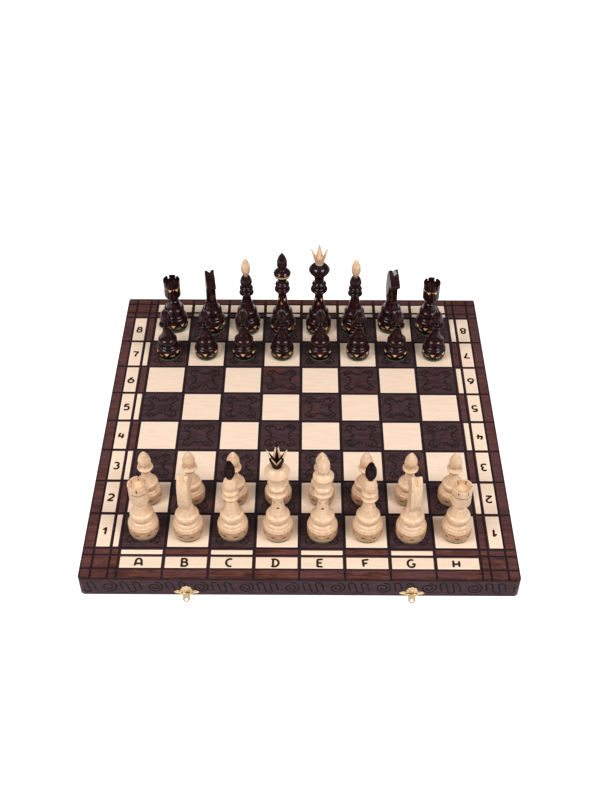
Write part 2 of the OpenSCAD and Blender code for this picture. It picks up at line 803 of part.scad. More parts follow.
color(STAIN) panel();  // front_panel
front_outer_rail();
color(STAIN) side_rails();  // front_side_rails
color(STAIN) fold_rail();  // front_fold_rail
color(BIRCH) light_inlay();  // front_light_inlay
color(FELT) lining();  // front_lining
color(STAIN) as_back() panel();  // back_panel
back_outer_rail();
color(STAIN) as_back() side_rails();  // back_side_rails
color(STAIN) as_back() fold_rail();  // back_fold_rail
color(BIRCH) as_back() light_inlay();  // back_light_inlay
color(FELT) as_back() lining();  // back_lining
color(BRASS) hinge_leaves(0);  // front_hinge_leaves
color(BRASS) as_back() hinge_leaves(1);  // back_hinge_leaves
color(BRASS) hinge_pins();
color(BRASS) latch_plates();
color(BRASS) latch_pins();
color(BRASS) hasp(-1);  // left_hasp
color(BRASS) hasp(1);  // right_hasp
color(BRASS) as_back() catch_plates();
color(BRASS) front_nails();
color(BRASS) as_back() back_nails();
for (m = MEN) man(m);
for (m = CROWNED) man_top(m);
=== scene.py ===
"""Dresses the folding chess set: finishes, turned men, burnt coordinates, brass, studio and camera."""

from __future__ import annotations

import logging
import math
from dataclasses import dataclass, replace
from enum import Enum
from typing import Iterable, Mapping, Sequence

import bmesh
import bpy
import numpy as np
from mathutils import Matrix, Vector

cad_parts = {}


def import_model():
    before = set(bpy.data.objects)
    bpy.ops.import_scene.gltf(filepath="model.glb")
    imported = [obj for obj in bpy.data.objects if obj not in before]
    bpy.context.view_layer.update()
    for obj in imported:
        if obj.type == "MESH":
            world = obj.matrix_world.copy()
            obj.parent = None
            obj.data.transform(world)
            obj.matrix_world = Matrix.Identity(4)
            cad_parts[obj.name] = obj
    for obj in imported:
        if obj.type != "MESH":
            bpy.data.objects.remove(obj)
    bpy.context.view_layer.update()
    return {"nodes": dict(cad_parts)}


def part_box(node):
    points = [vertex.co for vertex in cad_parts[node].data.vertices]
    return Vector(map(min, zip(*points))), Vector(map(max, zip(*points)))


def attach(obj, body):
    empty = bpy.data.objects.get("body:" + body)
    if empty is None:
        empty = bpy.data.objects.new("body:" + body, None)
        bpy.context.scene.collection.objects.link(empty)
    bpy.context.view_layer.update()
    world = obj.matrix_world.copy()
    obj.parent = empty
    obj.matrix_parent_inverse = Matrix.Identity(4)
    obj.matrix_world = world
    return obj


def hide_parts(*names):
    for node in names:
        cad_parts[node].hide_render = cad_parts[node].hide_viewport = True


LOG = logging.getLogger("chess_set")
MM = 0.001
FILES = "ABCDEFGH"
WELD_GAP = 1e-6
TURNED_GAP = 2e-6
DRAWN_GAP = 1e-7
MIX_SHARE = 0
MIX_VECTORS = (4, 5)
MIX_COLOURS = (6, 7)
MIXED_VECTOR = 1
MIXED_COLOUR = 2

Colour = tuple[float, float, float]
Place = tuple[float, float]
Socket = bpy.types.NodeSocket
Value = float | Socket
Inputs = Mapping[str | int, Value | Sequence[float]]


class Side(Enum):
    """The two players' sides."""

    WHITE = "white"
    BLACK = "black"


class Kind(Enum):
    """The kinds of men."""

    KING = "king"
    QUEEN = "queen"
    BISHOP = "bishop"
    KNIGHT = "knight"
    ROOK = "rook"
    PAWN = "pawn"


class Half(Enum):
    """The two halves of the case, with the sign of Y on which each lies."""

    FRONT = -1
    BACK = 1

    @property
    def label(self) -> str:
        """The half's name in the names of its pieces."""
        return self.name.lower()

    @property
    def body(self) -> str:
        """The name of the half's body in the frame."""
        return f"{self.label}_half"

    @property
    def ranks(self) -> range:
        """The ranks that lie on the half, counted from 0."""
        return range(4) if self is Half.FRONT else range(4, 8)


@dataclass(frozen=True)
class Pattern:
    """A noise pattern: its features per metre, its stretch along each axis, its detail and its warping."""

    scale: float
    stretch: tuple[float, float, float] = (1.0, 1.0, 1.0)
    detail: float = 3.0
    warp: float = 0.0


@dataclass(frozen=True)
class Ramp:
    """A smooth change from out_low at low to out_high at high, level beyond them."""

    low: float
    high: float
    out_low: float = 0.0
    out_high: float = 1.0


@dataclass(frozen=True)
class Relief:
    """A fine relief of a surface: the height in metres that 1 stands for, and the share of its effect."""

    height: float
    share: float


class Graph:
    """Short calls that add and join nodes in one tree."""

    def __init__(self, tree: bpy.types.NodeTree) -> None:
        """Takes the tree that the nodes go into."""
        self.tree = tree

    def put(self, value: Value | Sequence[float], socket: Socket) -> None:
        """Links another node's output to an input, or sets the input to a constant.

        Args:
            value: The output or the constant.
            socket: The input.
        """
        if isinstance(value, bpy.types.NodeSocket):
            self.tree.links.new(value, socket)
        else:
            socket.default_value = value

    def fill(self, node: bpy.types.Node, inputs: Inputs) -> bpy.types.Node:
        """Links or sets several inputs of a node.

        Args:
            node: The node.
            inputs: Outputs or constants by the inputs' names or numbers.

        Returns:
            The same node.
        """
        for name, value in inputs.items():
            self.put(value, node.inputs[name])
        return node

    def add(self, kind: str, inputs: Inputs | None = None, **settings: object) -> bpy.types.Node:
        """Adds a node.

        Args:
            kind: The node's type name.
            inputs: Outputs or constants for its inputs.
            settings: Attributes that are set on the node first.

        Returns:
            The new node.
        """
        node = self.tree.nodes.new(kind)
        for name, value in settings.items():
            setattr(node, name, value)
        return self.fill(node, inputs or {})

    def math(self, operation: str, *values: Value, clamp: bool = False) -> Socket:
        """Adds one step of arithmetic.

        Args:
            operation: The Math node's operation.
            values: Its operands.
            clamp: Whether the result is kept from 0 to 1.

        Returns:
            The result's socket.
        """
        inputs = dict(enumerate(values))
        return self.add("ShaderNodeMath", inputs, operation=operation, use_clamp=clamp).outputs[0]

    def gap(self, value: Value, other: Value) -> Socket:
        """The difference between two values without its sign."""
        return self.math("ABSOLUTE", self.math("SUBTRACT", value, other))

    def weighed(self, first: Value, second: Value, share: float) -> Socket:
        """The sum of two values, in which the second counts for the share and the first for the rest."""
        return self.math("ADD", self.math("MULTIPLY", first, 1 - share), self.math("MULTIPLY", second, share))

    def ramp(self, value: Value, ramp: Ramp) -> Socket:
        """Adds a smooth change with a value.

        Args:
            value: The value.
            ramp: The limits of the value and of the result.

        Returns:
            The result's socket.
        """
        inputs = dict(enumerate((value, ramp.low, ramp.high, ramp.out_low, ramp.out_high)))
        return self.add("ShaderNodeMapRange", inputs, interpolation_type="SMOOTHSTEP", clamp=True).outputs[0]

    def mix(
        self, share: Value, first: Colour | Socket, second: Colour | Socket, blend: str = "MIX",
    ) -> Socket:
        """Mixes two colours.

        Args:
            share: How much of the second colour there is, from 0 to 1.
            first: The colour at 0.
            second: The colour at 1.
            blend: The blending mode.

        Returns:
            The mixed colour's socket.
        """
        node = self.add("ShaderNodeMix", {MIX_SHARE: share}, data_type="RGBA", blend_type=blend)
        for number, colour in zip(MIX_COLOURS, (first, second)):
            opaque = colour if isinstance(colour, bpy.types.NodeSocket) else (*colour, 1.0)
            self.put(opaque, node.inputs[number])
        return node.outputs[MIXED_COLOUR]

    def noise(self, vector: Socket, pattern: Pattern) -> Socket:
        """Adds a noise field.

        Args:
            vector: The coordinates that it is read at.
            pattern: Its scale and character.

        Returns:
            The noise value's socket.
        """
        mapping = self.add("ShaderNodeMapping", {"Vector": vector, "Scale": pattern.stretch})
        return self.add("ShaderNodeTexNoise", {
            "Vector": mapping.outputs[0], "Scale": pattern.scale, "Detail": pattern.detail,
            "Distortion": pattern.warp,
        }).outputs[0]

    def bump(self, field: Value, relief: Relief) -> Socket:
        """Turns a height field into a normal.

        Args:
            field: The height, from 0 to 1.
            relief: What the height stands for.

        Returns:
            The normal's socket.
        """
        inputs = {"Strength": relief.share, "Distance": relief.height, "Height": field}
        return self.add("ShaderNodeBump", inputs).outputs[0]

    def split(self, vector: Socket) -> tuple[Socket, Socket, Socket]:
        """The three parts of a vector."""
        x, y, z = self.add("ShaderNodeSeparateXYZ", {0: vector}).outputs
        return x, y, z

    def millimetres(self, place: Socket) -> tuple[Socket, Socket, Socket]:
        """The three parts of a place, in millimetres."""
        x, y, z = (self.math("DIVIDE", part, MM) for part in self.split(place))
        return x, y, z

    def joined(self, x: Value, y: Value, z: Value) -> Socket:
        """A vector of three values."""
        return self.add("ShaderNodeCombineXYZ", {"X": x, "Y": y, "Z": z}).outputs[0]

    def mark(self, name: str) -> Socket:
        """The value of an attribute of the piece's own mesh."""
        return self.add("ShaderNodeAttribute", attribute_name=name).outputs["Fac"]

    def send(self, mesh: Socket, finish: Socket, name: str) -> None:
        """Ends a Geometry Nodes tree with a real mesh in its finish.

        Args:
            mesh: The mesh.
            finish: The material.
            name: The tree's output.
        """
        real = self.add("GeometryNodeRealizeInstances", {0: mesh})
        dressed = self.add("GeometryNodeSetMaterial", {"Geometry": real.outputs[0], "Material": finish})
        self.add("NodeGroupOutput", {name: dressed.outputs[0]})


class Finish:
    """A material that is built from nodes."""

    name: str

    def material(self) -> bpy.types.Material:
        """Builds the material at the first call.

        Returns:
            The material.
        """
        found = bpy.data.materials.get(self.name)
        if found is not None:
            return found
        material = bpy.data.materials.new(self.name)
        material.use_nodes = True
        graph = Graph(material.node_tree)
        graph.fill(material.node_tree.nodes["Principled BSDF"], self.look(graph))
        return material

    def look(self, graph: Graph) -> Inputs:
        """Adds the finish's nodes and gives what the shader's inputs take."""
        raise NotImplementedError

    @staticmethod
    def place(graph: Graph) -> Socket:
        """The Object coordinates' socket."""
        return graph.add("ShaderNodeTexCoord").outputs["Object"]


class Grain(Enum):
    """Which way a piece's grain runs, as the stretch of its pattern along X, Y and Z."""

    ALONG_X = (1.0, 8.0, 8.0)
    UPRIGHT = (5.0, 5.0, 1.0)
    RINGS = (0.25, 0.25, 4.0)


@dataclass(frozen=True)
class BoardPlan:
    """The board's plan, in millimetres from its centre."""

    pitch: float = 44.0
    squares: int = 8
    field: float = 176.0
    border_line: float = 184.4
    joint_line: float = 201.0
    half_side: float = 213.0
    top_z: float = 26.7
    arris: float = 2.5

    def middle(self, index: int) -> float:
        """The place of the middle of a file or a rank, counted from 0."""
        return (index - (self.squares - 1) / 2) * self.pitch

    def line_distance(self, graph: Graph, x: Socket, y: Socket) -> Socket:
        """How far a place lies from the nearest milled line.

        Args:
            graph: The tree that the nodes go into.
            x: The place along X, in millimetres.
            y: The place along Y, in millimetres.

        Returns:
            The distance in millimetres.
        """
        half = self.pitch / 2
        found: list[Socket] = []
        for along in (x, y):
            off_middle = graph.math("WRAP", graph.math("SUBTRACT", along, half), half, -half)
            found.append(graph.math("SUBTRACT", half, graph.math("ABSOLUTE", off_middle)))
            size = graph.math("ABSOLUTE", along)
            found.extend(graph.gap(size, line) for line in (self.border_line, self.joint_line))
        nearest = found[0]
        for other in found[1:]:
            nearest = graph.math("MINIMUM", nearest, other)
        return nearest

    def chance(self, graph: Graph, place: Socket) -> Socket:
        """A random value for each square.

        Args:
            graph: The tree that the nodes go into.
            place: The Object coordinates.

        Returns:
            The value's socket, from 0 to 1.
        """
        inputs = {0: place, "Scale": 1 / (self.pitch * MM)}
        scaled = graph.add("ShaderNodeVectorMath", inputs, operation="SCALE")
        cell = graph.add("ShaderNodeVectorMath", {0: scaled.outputs[0]}, operation="FLOOR")
        noise = graph.add("ShaderNodeTexWhiteNoise", {"Vector": cell.outputs[0]}, noise_dimensions="3D")
        return noise.outputs["Value"]


PLAN = BoardPlan()


@dataclass(frozen=True)
class Tones:
    """The darkest and the lightest tone of one part of a stained surface."""

    dark: Colour
    light: Colour

    def mixed(self, graph: Graph, share: Value) -> Socket:
        """The tone at a share from dark to light."""
        return graph.mix(share, self.dark, self.light)


@dataclass(frozen=True)
class StainedWood(Finish):
    """Dark stained wood of the board under a satin varnish, with its milled lines. Lengths in millimetres."""

    name: str = "stained_wood_finish"
    field: Tones = Tones((0.028, 0.013, 0.016), (0.078, 0.039, 0.042))
    heart: Colour = (0.125, 0.040, 0.030)
    border: Tones = Tones((0.040, 0.013, 0.012), (0.165, 0.054, 0.038))
    purple: Colour = (0.098, 0.041, 0.049)
    face: Tones = Tones((0.036, 0.016, 0.023), (0.078, 0.036, 0.044))
    arris: Colour = (0.024, 0.008, 0.009)
    line: Colour = (0.018, 0.012, 0.018)
    streaks: Pattern = Pattern(45, Grain.ALONG_X.value, 4, 1.4)
    fibres: Pattern = Pattern(420, Grain.ALONG_X.value)
    fibre_share: float = 0.28
    patches: Pattern = Pattern(34, (1.0, 2.2, 1.0), 4, 0.8)
    blotches: Pattern = Pattern(11, warp=0.6)
    side_purple: float = 0.3
    face_reach: float = 0.6
    arris_reach: tuple[float, float] = (2.8, 1.4)
    arris_share: float = 0.8
    line_reach: tuple[float, float] = (1.4, 1.0)
    line_floor: float = 1.3
    line_share: float = 0.85
    relief: Relief = Relief(0.00016, 0.4)

    def look(self, graph: Graph) -> Inputs:
        """Adds streaks, the tones of each part and the lines.

        Args:
            graph: The material's tree.

        Returns:
            What the shader's inputs take.
        """
        place = self.place(graph)
        x, y, z = graph.millimetres(place)
        size_x, size_y = graph.math("ABSOLUTE", x), graph.math("ABSOLUTE", y)
        out = graph.math("MAXIMUM", size_x, size_y)
        on_side = graph.math("GREATER_THAN", size_x, size_y)
        face_top = PLAN.top_z - PLAN.arris
        on_face = graph.math(
            "MULTIPLY", graph.math("GREATER_THAN", out, PLAN.half_side - self.face_reach),
            graph.ramp(z, Ramp(face_top + self.face_reach, face_top)),
        )

        grain_place = self._along_grain(graph, place, graph.math("MULTIPLY", on_face, on_side))
        fibres = graph.noise(grain_place, self.fibres)
        grain = graph.weighed(graph.noise(grain_place, self.streaks), fibres, self.fibre_share)
        tone = graph.ramp(grain, Ramp(0.34, 0.68))

        patches = graph.ramp(graph.noise(place, self.patches), Ramp(0.46, 0.66))
        reddish = graph.ramp(PLAN.chance(graph, place), Ramp(0.35, 0.95, 0.06, 0.62))
        hearted = graph.math("MULTIPLY", patches, reddish)
        square = graph.mix(hearted, self.field.mixed(graph, tone), self.heart)

        blotch = graph.ramp(graph.noise(place, self.blotches), Ramp(0.42, 0.62, 0.0, 0.5))
        purplish = graph.math("MAXIMUM", blotch, graph.math("MULTIPLY", on_side, self.side_purple))
        border = graph.mix(purplish, self.border.mixed(graph, tone), self.purple)

        colour = graph.mix(graph.math("LESS_THAN", out, PLAN.field), border, square)
        edge = graph.ramp(out, Ramp(*(PLAN.half_side - reach for reach in self.arris_reach)))
        colour = graph.mix(graph.math("MULTIPLY", edge, self.arris_share), colour, self.arris)
        colour = graph.mix(on_face, colour, self.face.mixed(graph, tone))
        on_top = graph.math("GREATER_THAN", z, PLAN.top_z - self.line_floor)
        near_line = graph.ramp(PLAN.line_distance(graph, x, y), Ramp(*self.line_reach))
        milled = graph.math("MULTIPLY", near_line, on_top)
        dull = graph.math("MAXIMUM", edge, on_face)
        return {
            "Base Color": graph.mix(graph.math("MULTIPLY", milled, self.line_share), colour, self.line),
            "Roughness": graph.ramp(fibres, Ramp(0.3, 0.7, 0.26, 0.40)),
            "Specular IOR Level": graph.ramp(dull, Ramp(0.0, 1.0, 0.28, 0.08)),
            "Normal": graph.bump(fibres, self.relief),
        }

    @staticmethod
    def _along_grain(graph: Graph, place: Socket, swapped: Socket) -> Socket:
        """The coordinates with X along the grain, which runs along Y on the side rails' outer faces.

        Args:
            graph: The material's tree.
            place: The Object coordinates.
            swapped: 1 where X and Y change places.

        Returns:
            The vector's socket.
        """
        x, y, z = graph.split(place)
        inputs = {MIX_SHARE: swapped, **dict(zip(MIX_VECTORS, (place, graph.joined(y, x, z))))}
        return graph.add("ShaderNodeMix", inputs, data_type="VECTOR").outputs[MIXED_VECTOR]


@dataclass(frozen=True)
class Birch(Finish):
    """Pale birch of the inlays under a satin varnish. Lengths are in millimetres."""

    name: str = "birch_inlay_finish"
    pale: Colour = (0.90, 0.70, 0.54)
    warm: Colour = (0.83, 0.615, 0.455)
    # Painted highlight along the tiles' rounded rims
    rim: Colour = (0.92, 0.75, 0.59)
    # Painted shade: multiplies the front row of cells, which the lamps light more
    near_row: Colour = (0.925, 0.955, 0.96)
    grain: Pattern = Pattern(38, (1.0, 11.0, 1.0), 5, 1.2)
    fibres: Pattern = Pattern(300, (1.0, 14.0, 1.0))
    tile_share: float = 0.3
    rim_reach: tuple[float, float] = (3.3, 2.6)
    rim_share: float = 0.6
    roughness: float = 0.38
    gloss: float = 0.25
    relief: Relief = Relief(0.00008, 0.3)

    def look(self, graph: Graph) -> Inputs:
        """Adds faint grain along X, a tone for each tile, a painted highlight along each tile's rim and
        painted shade on the front row of cells.

        Args:
            graph: The material's tree.

        Returns:
            What the shader's inputs take.
        """
        place = self.place(graph)
        x, y, _ = graph.millimetres(place)
        fibres = graph.noise(place, self.fibres)
        grain = graph.ramp(graph.noise(place, self.grain), Ramp(0.38, 0.74))
        colour = graph.mix(grain, self.pale, self.warm)
        colour = graph.mix(graph.ramp(fibres, Ramp(0.45, 0.8, 0.0, 0.35)), colour, self.warm)
        tile = graph.math("MULTIPLY", PLAN.chance(graph, place), self.tile_share)
        colour = graph.mix(tile, colour, self.warm)
        # Painted highlight: a paler rim along each tile's edge next to the milled lines
        on_rim_highlight = graph.ramp(PLAN.line_distance(graph, x, y), Ramp(*self.rim_reach, 0.0, self.rim_share))
        colour = graph.mix(on_rim_highlight, colour, self.rim)
        # Painted shade on the front row of cells, nearest the lamps
        near = graph.math("LESS_THAN", y, -PLAN.border_line)
        return {
            "Base Color": graph.mix(near, colour, self.near_row, "MULTIPLY"),
            "Roughness": self.roughness,
            "Specular IOR Level": self.gloss,
            "Normal": graph.bump(fibres, self.relief),
        }


@dataclass(frozen=True)
class ManWood(Finish):
    """Wood of the men. The mark cut is above 0 in a chip, burn in a scorch, and the painted shade's depth is
    in millimetres.
    """

    name: str
    deep: Colour
    bright: Colour
    bare: Colour
    scorched: Colour
    # stain colours the turned rings, and is also the colour of the painted shade in the hollows and low on
    # the drum
    stain: Colour
    roughness: float
    coat: float
    coat_roughness: float
    gloss: float
    grain: Pattern = Pattern(70, Grain.UPRIGHT.value, 4, 0.8)
    fibres: Pattern = Pattern(420, Grain.UPRIGHT.value, 2)
    fibre_share: float = 0.3
    rings: Pattern = Pattern(150, Grain.RINGS.value)
    relief: Relief = Relief(0.00008, 0.25)

    def look(self, graph: Graph) -> Inputs:
        """Adds upright grain, turned rings, painted shade in the hollows and low on the drum, bare chips (on
        the white men darkened by painted shade) and their scorched edges.

        Args:
            graph: The material's tree.

        Returns:
            What the shader's inputs take.
        """
        place = self.place(graph)
        fibres = graph.noise(place, self.fibres)
        grain = graph.weighed(graph.noise(place, self.grain), fibres, self.fibre_share)
        colour = graph.mix(graph.ramp(grain, Ramp(0.36, 0.66)), self.deep, self.bright)
        rings = graph.ramp(graph.noise(place, self.rings), Ramp(0.5, 0.72, 0.0, 0.4))
        colour = graph.mix(rings, colour, self.stain)
        # Painted shade: darker in the hollows between turned parts and low on the drum; in the hollows partly
        # also polish that gathered there
        colour = graph.mix(graph.ramp(graph.mark("recess"), Ramp(0.2, 3.2, 0.0, 0.85)), colour, self.stain)
        # Inside the chips: cut wood; on the white men this colour is darker than the wood round it, painted
        # shade in the chips on slightly browner cut wood
        colour = graph.mix(graph.ramp(graph.mark("cut"), Ramp(0.0, 0.15)), colour, self.bare)
        return {
            "Base Color": graph.mix(graph.ramp(graph.mark("burn"), Ramp(0.0, 0.15)), colour, self.scorched),
            "Roughness": self.roughness,
            "Specular IOR Level": self.gloss,
            "Coat Weight": self.coat,
            "Coat Roughness": self.coat_roughness,
            "Normal": graph.bump(fibres, self.relief),
        }


@dataclass(frozen=True)
class Brass(Finish):
    """Bright stamped brass."""

    name: str = "brass_finish"
    colour: Colour = (0.80, 0.62, 0.38)
    stained: Colour = (0.58, 0.41, 0.22)
    wear: Pattern = Pattern(500)

    def look(self, graph: Graph) -> Inputs:
        """Adds slight stains and wear to the metal.

        Args:
            graph: The material's tree.

        Returns:
            What the shader's inputs take.
        """
        wear = graph.noise(self.place(graph), self.wear)
        return {
            "Base Color": graph.mix(graph.ramp(wear, Ramp(0.35, 0.75)), self.colour, self.stained),
            "Metallic": 1.0,
            "Roughness": graph.ramp(wear, Ramp(0.3, 0.7, 0.28, 0.44)),
        }


@dataclass(frozen=True)
class Felt(Finish):
    """Green wool felt."""

    name: str = "felt_finish"
    shade: Colour = (0.015, 0.09, 0.03)
    colour: Colour = (0.03, 0.16, 0.05)
    nap: Pattern = Pattern(2500, detail=4)
    roughness: float = 0.95
    sheen: float = 0.5
    relief: Relief = Relief(0.0004, 0.7)

    def look(self, graph: Graph) -> Inputs:
        """Adds the fibres' mottling and nap.

        Args:
            graph: The material's tree.

        Returns:
            What the shader's inputs take.
        """
        nap = graph.noise(self.place(graph), self.nap)
        return {
            "Base Color": graph.mix(nap, self.shade, self.colour),
            "Roughness": self.roughness,
            "Sheen Weight": self.sheen,
            "Normal": graph.bump(nap, self.relief),
        }


@dataclass(frozen=True)
class BurntMark(Finish):
    """Dark brown scorch of the burnt letters and numbers."""

    name: str = "burnt_mark_finish"
    colour: Colour = (0.018, 0.007, 0.006)
    faint: Colour = (0.045, 0.018, 0.012)
    scorch: Pattern = Pattern(900)
    roughness: float = 0.7
    gloss: float = 0.1
    relief: Relief = Relief(0.0001, 0.4)

    def look(self, graph: Graph) -> Inputs:
        """Adds uneven scorching.

        Args:
            graph: The material's tree.

        Returns:
            What the shader's inputs take.
        """
        scorch = graph.noise(self.place(graph), self.scorch)
        return {
            "Base Color": graph.mix(graph.ramp(scorch, Ramp(0.3, 0.7)), self.colour, self.faint),
            "Roughness": self.roughness,
            "Specular IOR Level": self.gloss,
            "Normal": graph.bump(scorch, self.relief),
        }


@dataclass(frozen=True)
class CarvedGroove(Finish):
    """Dark stain that gathered in the carving, under varnish."""

    name: str = "carved_groove_finish"
    deep: Colour = (0.006, 0.003, 0.005)
    thin: Colour = (0.022, 0.010, 0.012)
    gloss: float = 0.4
    coat: float = 0.3
    stain: Pattern = Pattern(260)
    chatter: Pattern = Pattern(900, detail=2)
    coat_roughness: float = 0.1
    relief: Relief = Relief(0.0002, 0.5)

    def look(self, graph: Graph) -> Inputs:
        """Adds stain of uneven depth and the tool's chatter.

        Args:
            graph: The material's tree.

        Returns:
            What the shader's inputs take.
        """
        place = self.place(graph)
        stain = graph.noise(place, self.stain)
        return {
            "Base Color": graph.mix(graph.ramp(stain, Ramp(0.35, 0.7)), self.deep, self.thin),
            "Roughness": graph.ramp(stain, Ramp(0.3, 0.7, 0.16, 0.3)),
            "Specular IOR Level": self.gloss,
            "Coat Weight": self.coat,
            "Coat Roughness": self.coat_roughness,
            "Normal": graph.bump(graph.noise(place, self.chatter), self.relief),
        }


STAINED = StainedWood()
BIRCH = Birch()
# The white men's bare colour is darker than their wood: painted shade inside the chips, on slightly browner
# cut wood
LIGHT_MAN = ManWood(
    name="white_men_finish", deep=(0.73, 0.475, 0.287), bright=(0.85, 0.605, 0.412),
    bare=(0.62, 0.37, 0.185), scorched=(0.10, 0.030, 0.012), stain=(0.49, 0.255, 0.128),
    roughness=0.42, coat=0.3, coat_roughness=0.16, gloss=0.4,
)
DARK_MAN = ManWood(
    name="black_men_finish", deep=(0.007, 0.0014, 0.0024), bright=(0.036, 0.0058, 0.0085),
    bare=(0.88, 0.55, 0.24), scorched=(0.24, 0.065, 0.025), stain=(0.004, 0.001, 0.002),
    roughness=0.35, coat=0.6, coat_roughness=0.06, gloss=0.06,
)
DARK_TOP = ManWood(
    name="dark_top_finish", deep=(0.006, 0.0015, 0.002), bright=(0.020, 0.004, 0.005),
    bare=(0.8, 0.6, 0.4), scorched=(0.02, 0.01, 0.01), stain=(0.004, 0.001, 0.002),
    roughness=0.3, coat=0.15, coat_roughness=0.06, gloss=0.0,
)
DARK_FINIAL = replace(DARK_TOP, name="dark_finial_finish", coat=0.22, coat_roughness=0.03)
BARE_CUT = ManWood(
    name="bare_cut_finish", deep=(0.74, 0.52, 0.33), bright=(0.84, 0.62, 0.43),
    bare=(0.8, 0.6, 0.4), scorched=(0.2, 0.08, 0.04), stain=(0.5, 0.3, 0.15),
    roughness=0.5, coat=0.2, coat_roughness=0.1, gloss=0.4,
)
BRASS = Brass()
FELT = Felt()
BURNT = BurntMark()
CARVED = CarvedGroove()
CARVED_FACE = CarvedGroove("carved_face_finish", deep=(0.007, 0.003, 0.004), gloss=0.05, coat=0.0)


def mesh_object(
    name: str, vertices: Sequence[Sequence[float]] | np.ndarray, faces: Sequence[Sequence[int]],
    edges: Sequence[tuple[int, int]] = (),
) -> bpy.types.Object:
    """Makes an object at the origin from vertices and faces or edges.

    Args:
        name: The piece's name.
        vertices: Vertex places in metres.
        faces: Vertex numbers of each face.
        edges: Vertex numbers of each loose edge.

    Returns:
        The object, linked to the scene.
    """
    mesh = bpy.data.meshes.new(name)
    mesh.from_pydata(np.asarray(vertices, float).tolist(), list(edges), [list(face) for face in faces])
    piece = bpy.data.objects.new(name, mesh)
    bpy.context.scene.collection.objects.link(piece)
    return piece


def baked(piece: bpy.types.Object) -> bpy.types.Object:
    """Puts the result of the piece's modifiers into its mesh and removes them.

    Args:
        piece: The object to bake.

    Returns:
        The same object with a plain mesh.
    """
    bpy.context.view_layer.update()
    graph = bpy.context.evaluated_depsgraph_get()
    mesh = bpy.data.meshes.new_from_object(piece.evaluated_get(graph), depsgraph=graph)
    old = piece.data
    piece.modifiers.clear()
    piece.data = mesh
    mesh.name = piece.name
    if old.users == 0 and isinstance(old, bpy.types.Mesh):
        bpy.data.meshes.remove(old)
    return piece


def cleaned(piece: bpy.types.Object, gap: float = WELD_GAP) -> bpy.types.Object:
    """Merges the piece's doubled vertices and turns its faces outwards.

    Args:
        piece: The object to clean.
        gap: Vertices closer than this, in metres, become one.

    Returns:
        The same object.
    """
    work = bmesh.new()
    work.from_mesh(piece.data)
    bmesh.ops.remove_doubles(work, verts=work.verts[:], dist=gap)
    bmesh.ops.dissolve_degenerate(work, edges=work.edges[:], dist=gap / 10)
    bmesh.ops.recalc_face_normals(work, faces=work.faces[:])
    work.to_mesh(piece.data)
    work.free()
    return piece


def cut_away(piece: bpy.types.Object, cutter: bpy.types.Object) -> None:
    """Cuts a cutter's volume out of the piece and removes the cutter.

    Args:
        piece: The piece.
        cutter: The closed cutter.
    """
    cut = piece.modifiers.new("cut", "BOOLEAN")
    cut.object = cutter
    cut.solver = "EXACT"
    baked(piece)
    bpy.data.objects.remove(cutter)


def edge_rounding(piece: bpy.types.Object, width: float, steps: int, crease: float) -> bpy.types.Modifier:
    """Adds a bevel to the piece's sharp edges.

    Args:
        piece: The piece.
        width: The bevel's width in millimetres.
        steps: The bevel's segments.
        crease: The angle in degrees above which an edge is sharp.

    Returns:
        The modifier, which stays live.
    """
    bevel = piece.modifiers.new("edge", "BEVEL")
    bevel.width = width * MM
    bevel.segments = steps
    bevel.limit_method = "ANGLE"
    bevel.angle_limit = math.radians(crease)
    return bevel


def smooth(piece: bpy.types.Object, crease: float = 35.0) -> None:
    """Shades the piece smoothly, apart from edges sharper than an angle in degrees."""
    piece.data.shade_smooth()
    piece.data.set_sharp_from_angle(angle=math.radians(crease))


def vertex_places(mesh: bpy.types.Mesh) -> np.ndarray:
    """Reads where a mesh's vertices lie.

    Args:
        mesh: The mesh.

    Returns:
        Rows of coordinates in millimetres.
    """
    places = np.empty(len(mesh.vertices) * 3)
    mesh.vertices.foreach_get("co", places)
    return places.reshape(-1, 3) / MM


def store(mesh: bpy.types.Mesh, marks: Mapping[str, np.ndarray]) -> None:
    """Stores attributes on a mesh.

    Args:
        mesh: The mesh.
        marks: One value for each vertex, by the attribute's name.
    """
    for name, values in marks.items():
        mark = mesh.attributes.new(name, "FLOAT", "POINT")
        mark.data.foreach_set("value", values.astype(np.float32))


@dataclass(frozen=True)
class Stretch:
    """One stretch of a turned profile, in millimetres: the radius it reaches, its rise and its bow."""

    radius: float
    rise: float
    bow: float


def stretches(*rows: tuple[float, float, float]) -> tuple[Stretch, ...]:
    """Turns rows of radius, rise and bow into stretches."""
    return tuple(Stretch(*row) for row in rows)


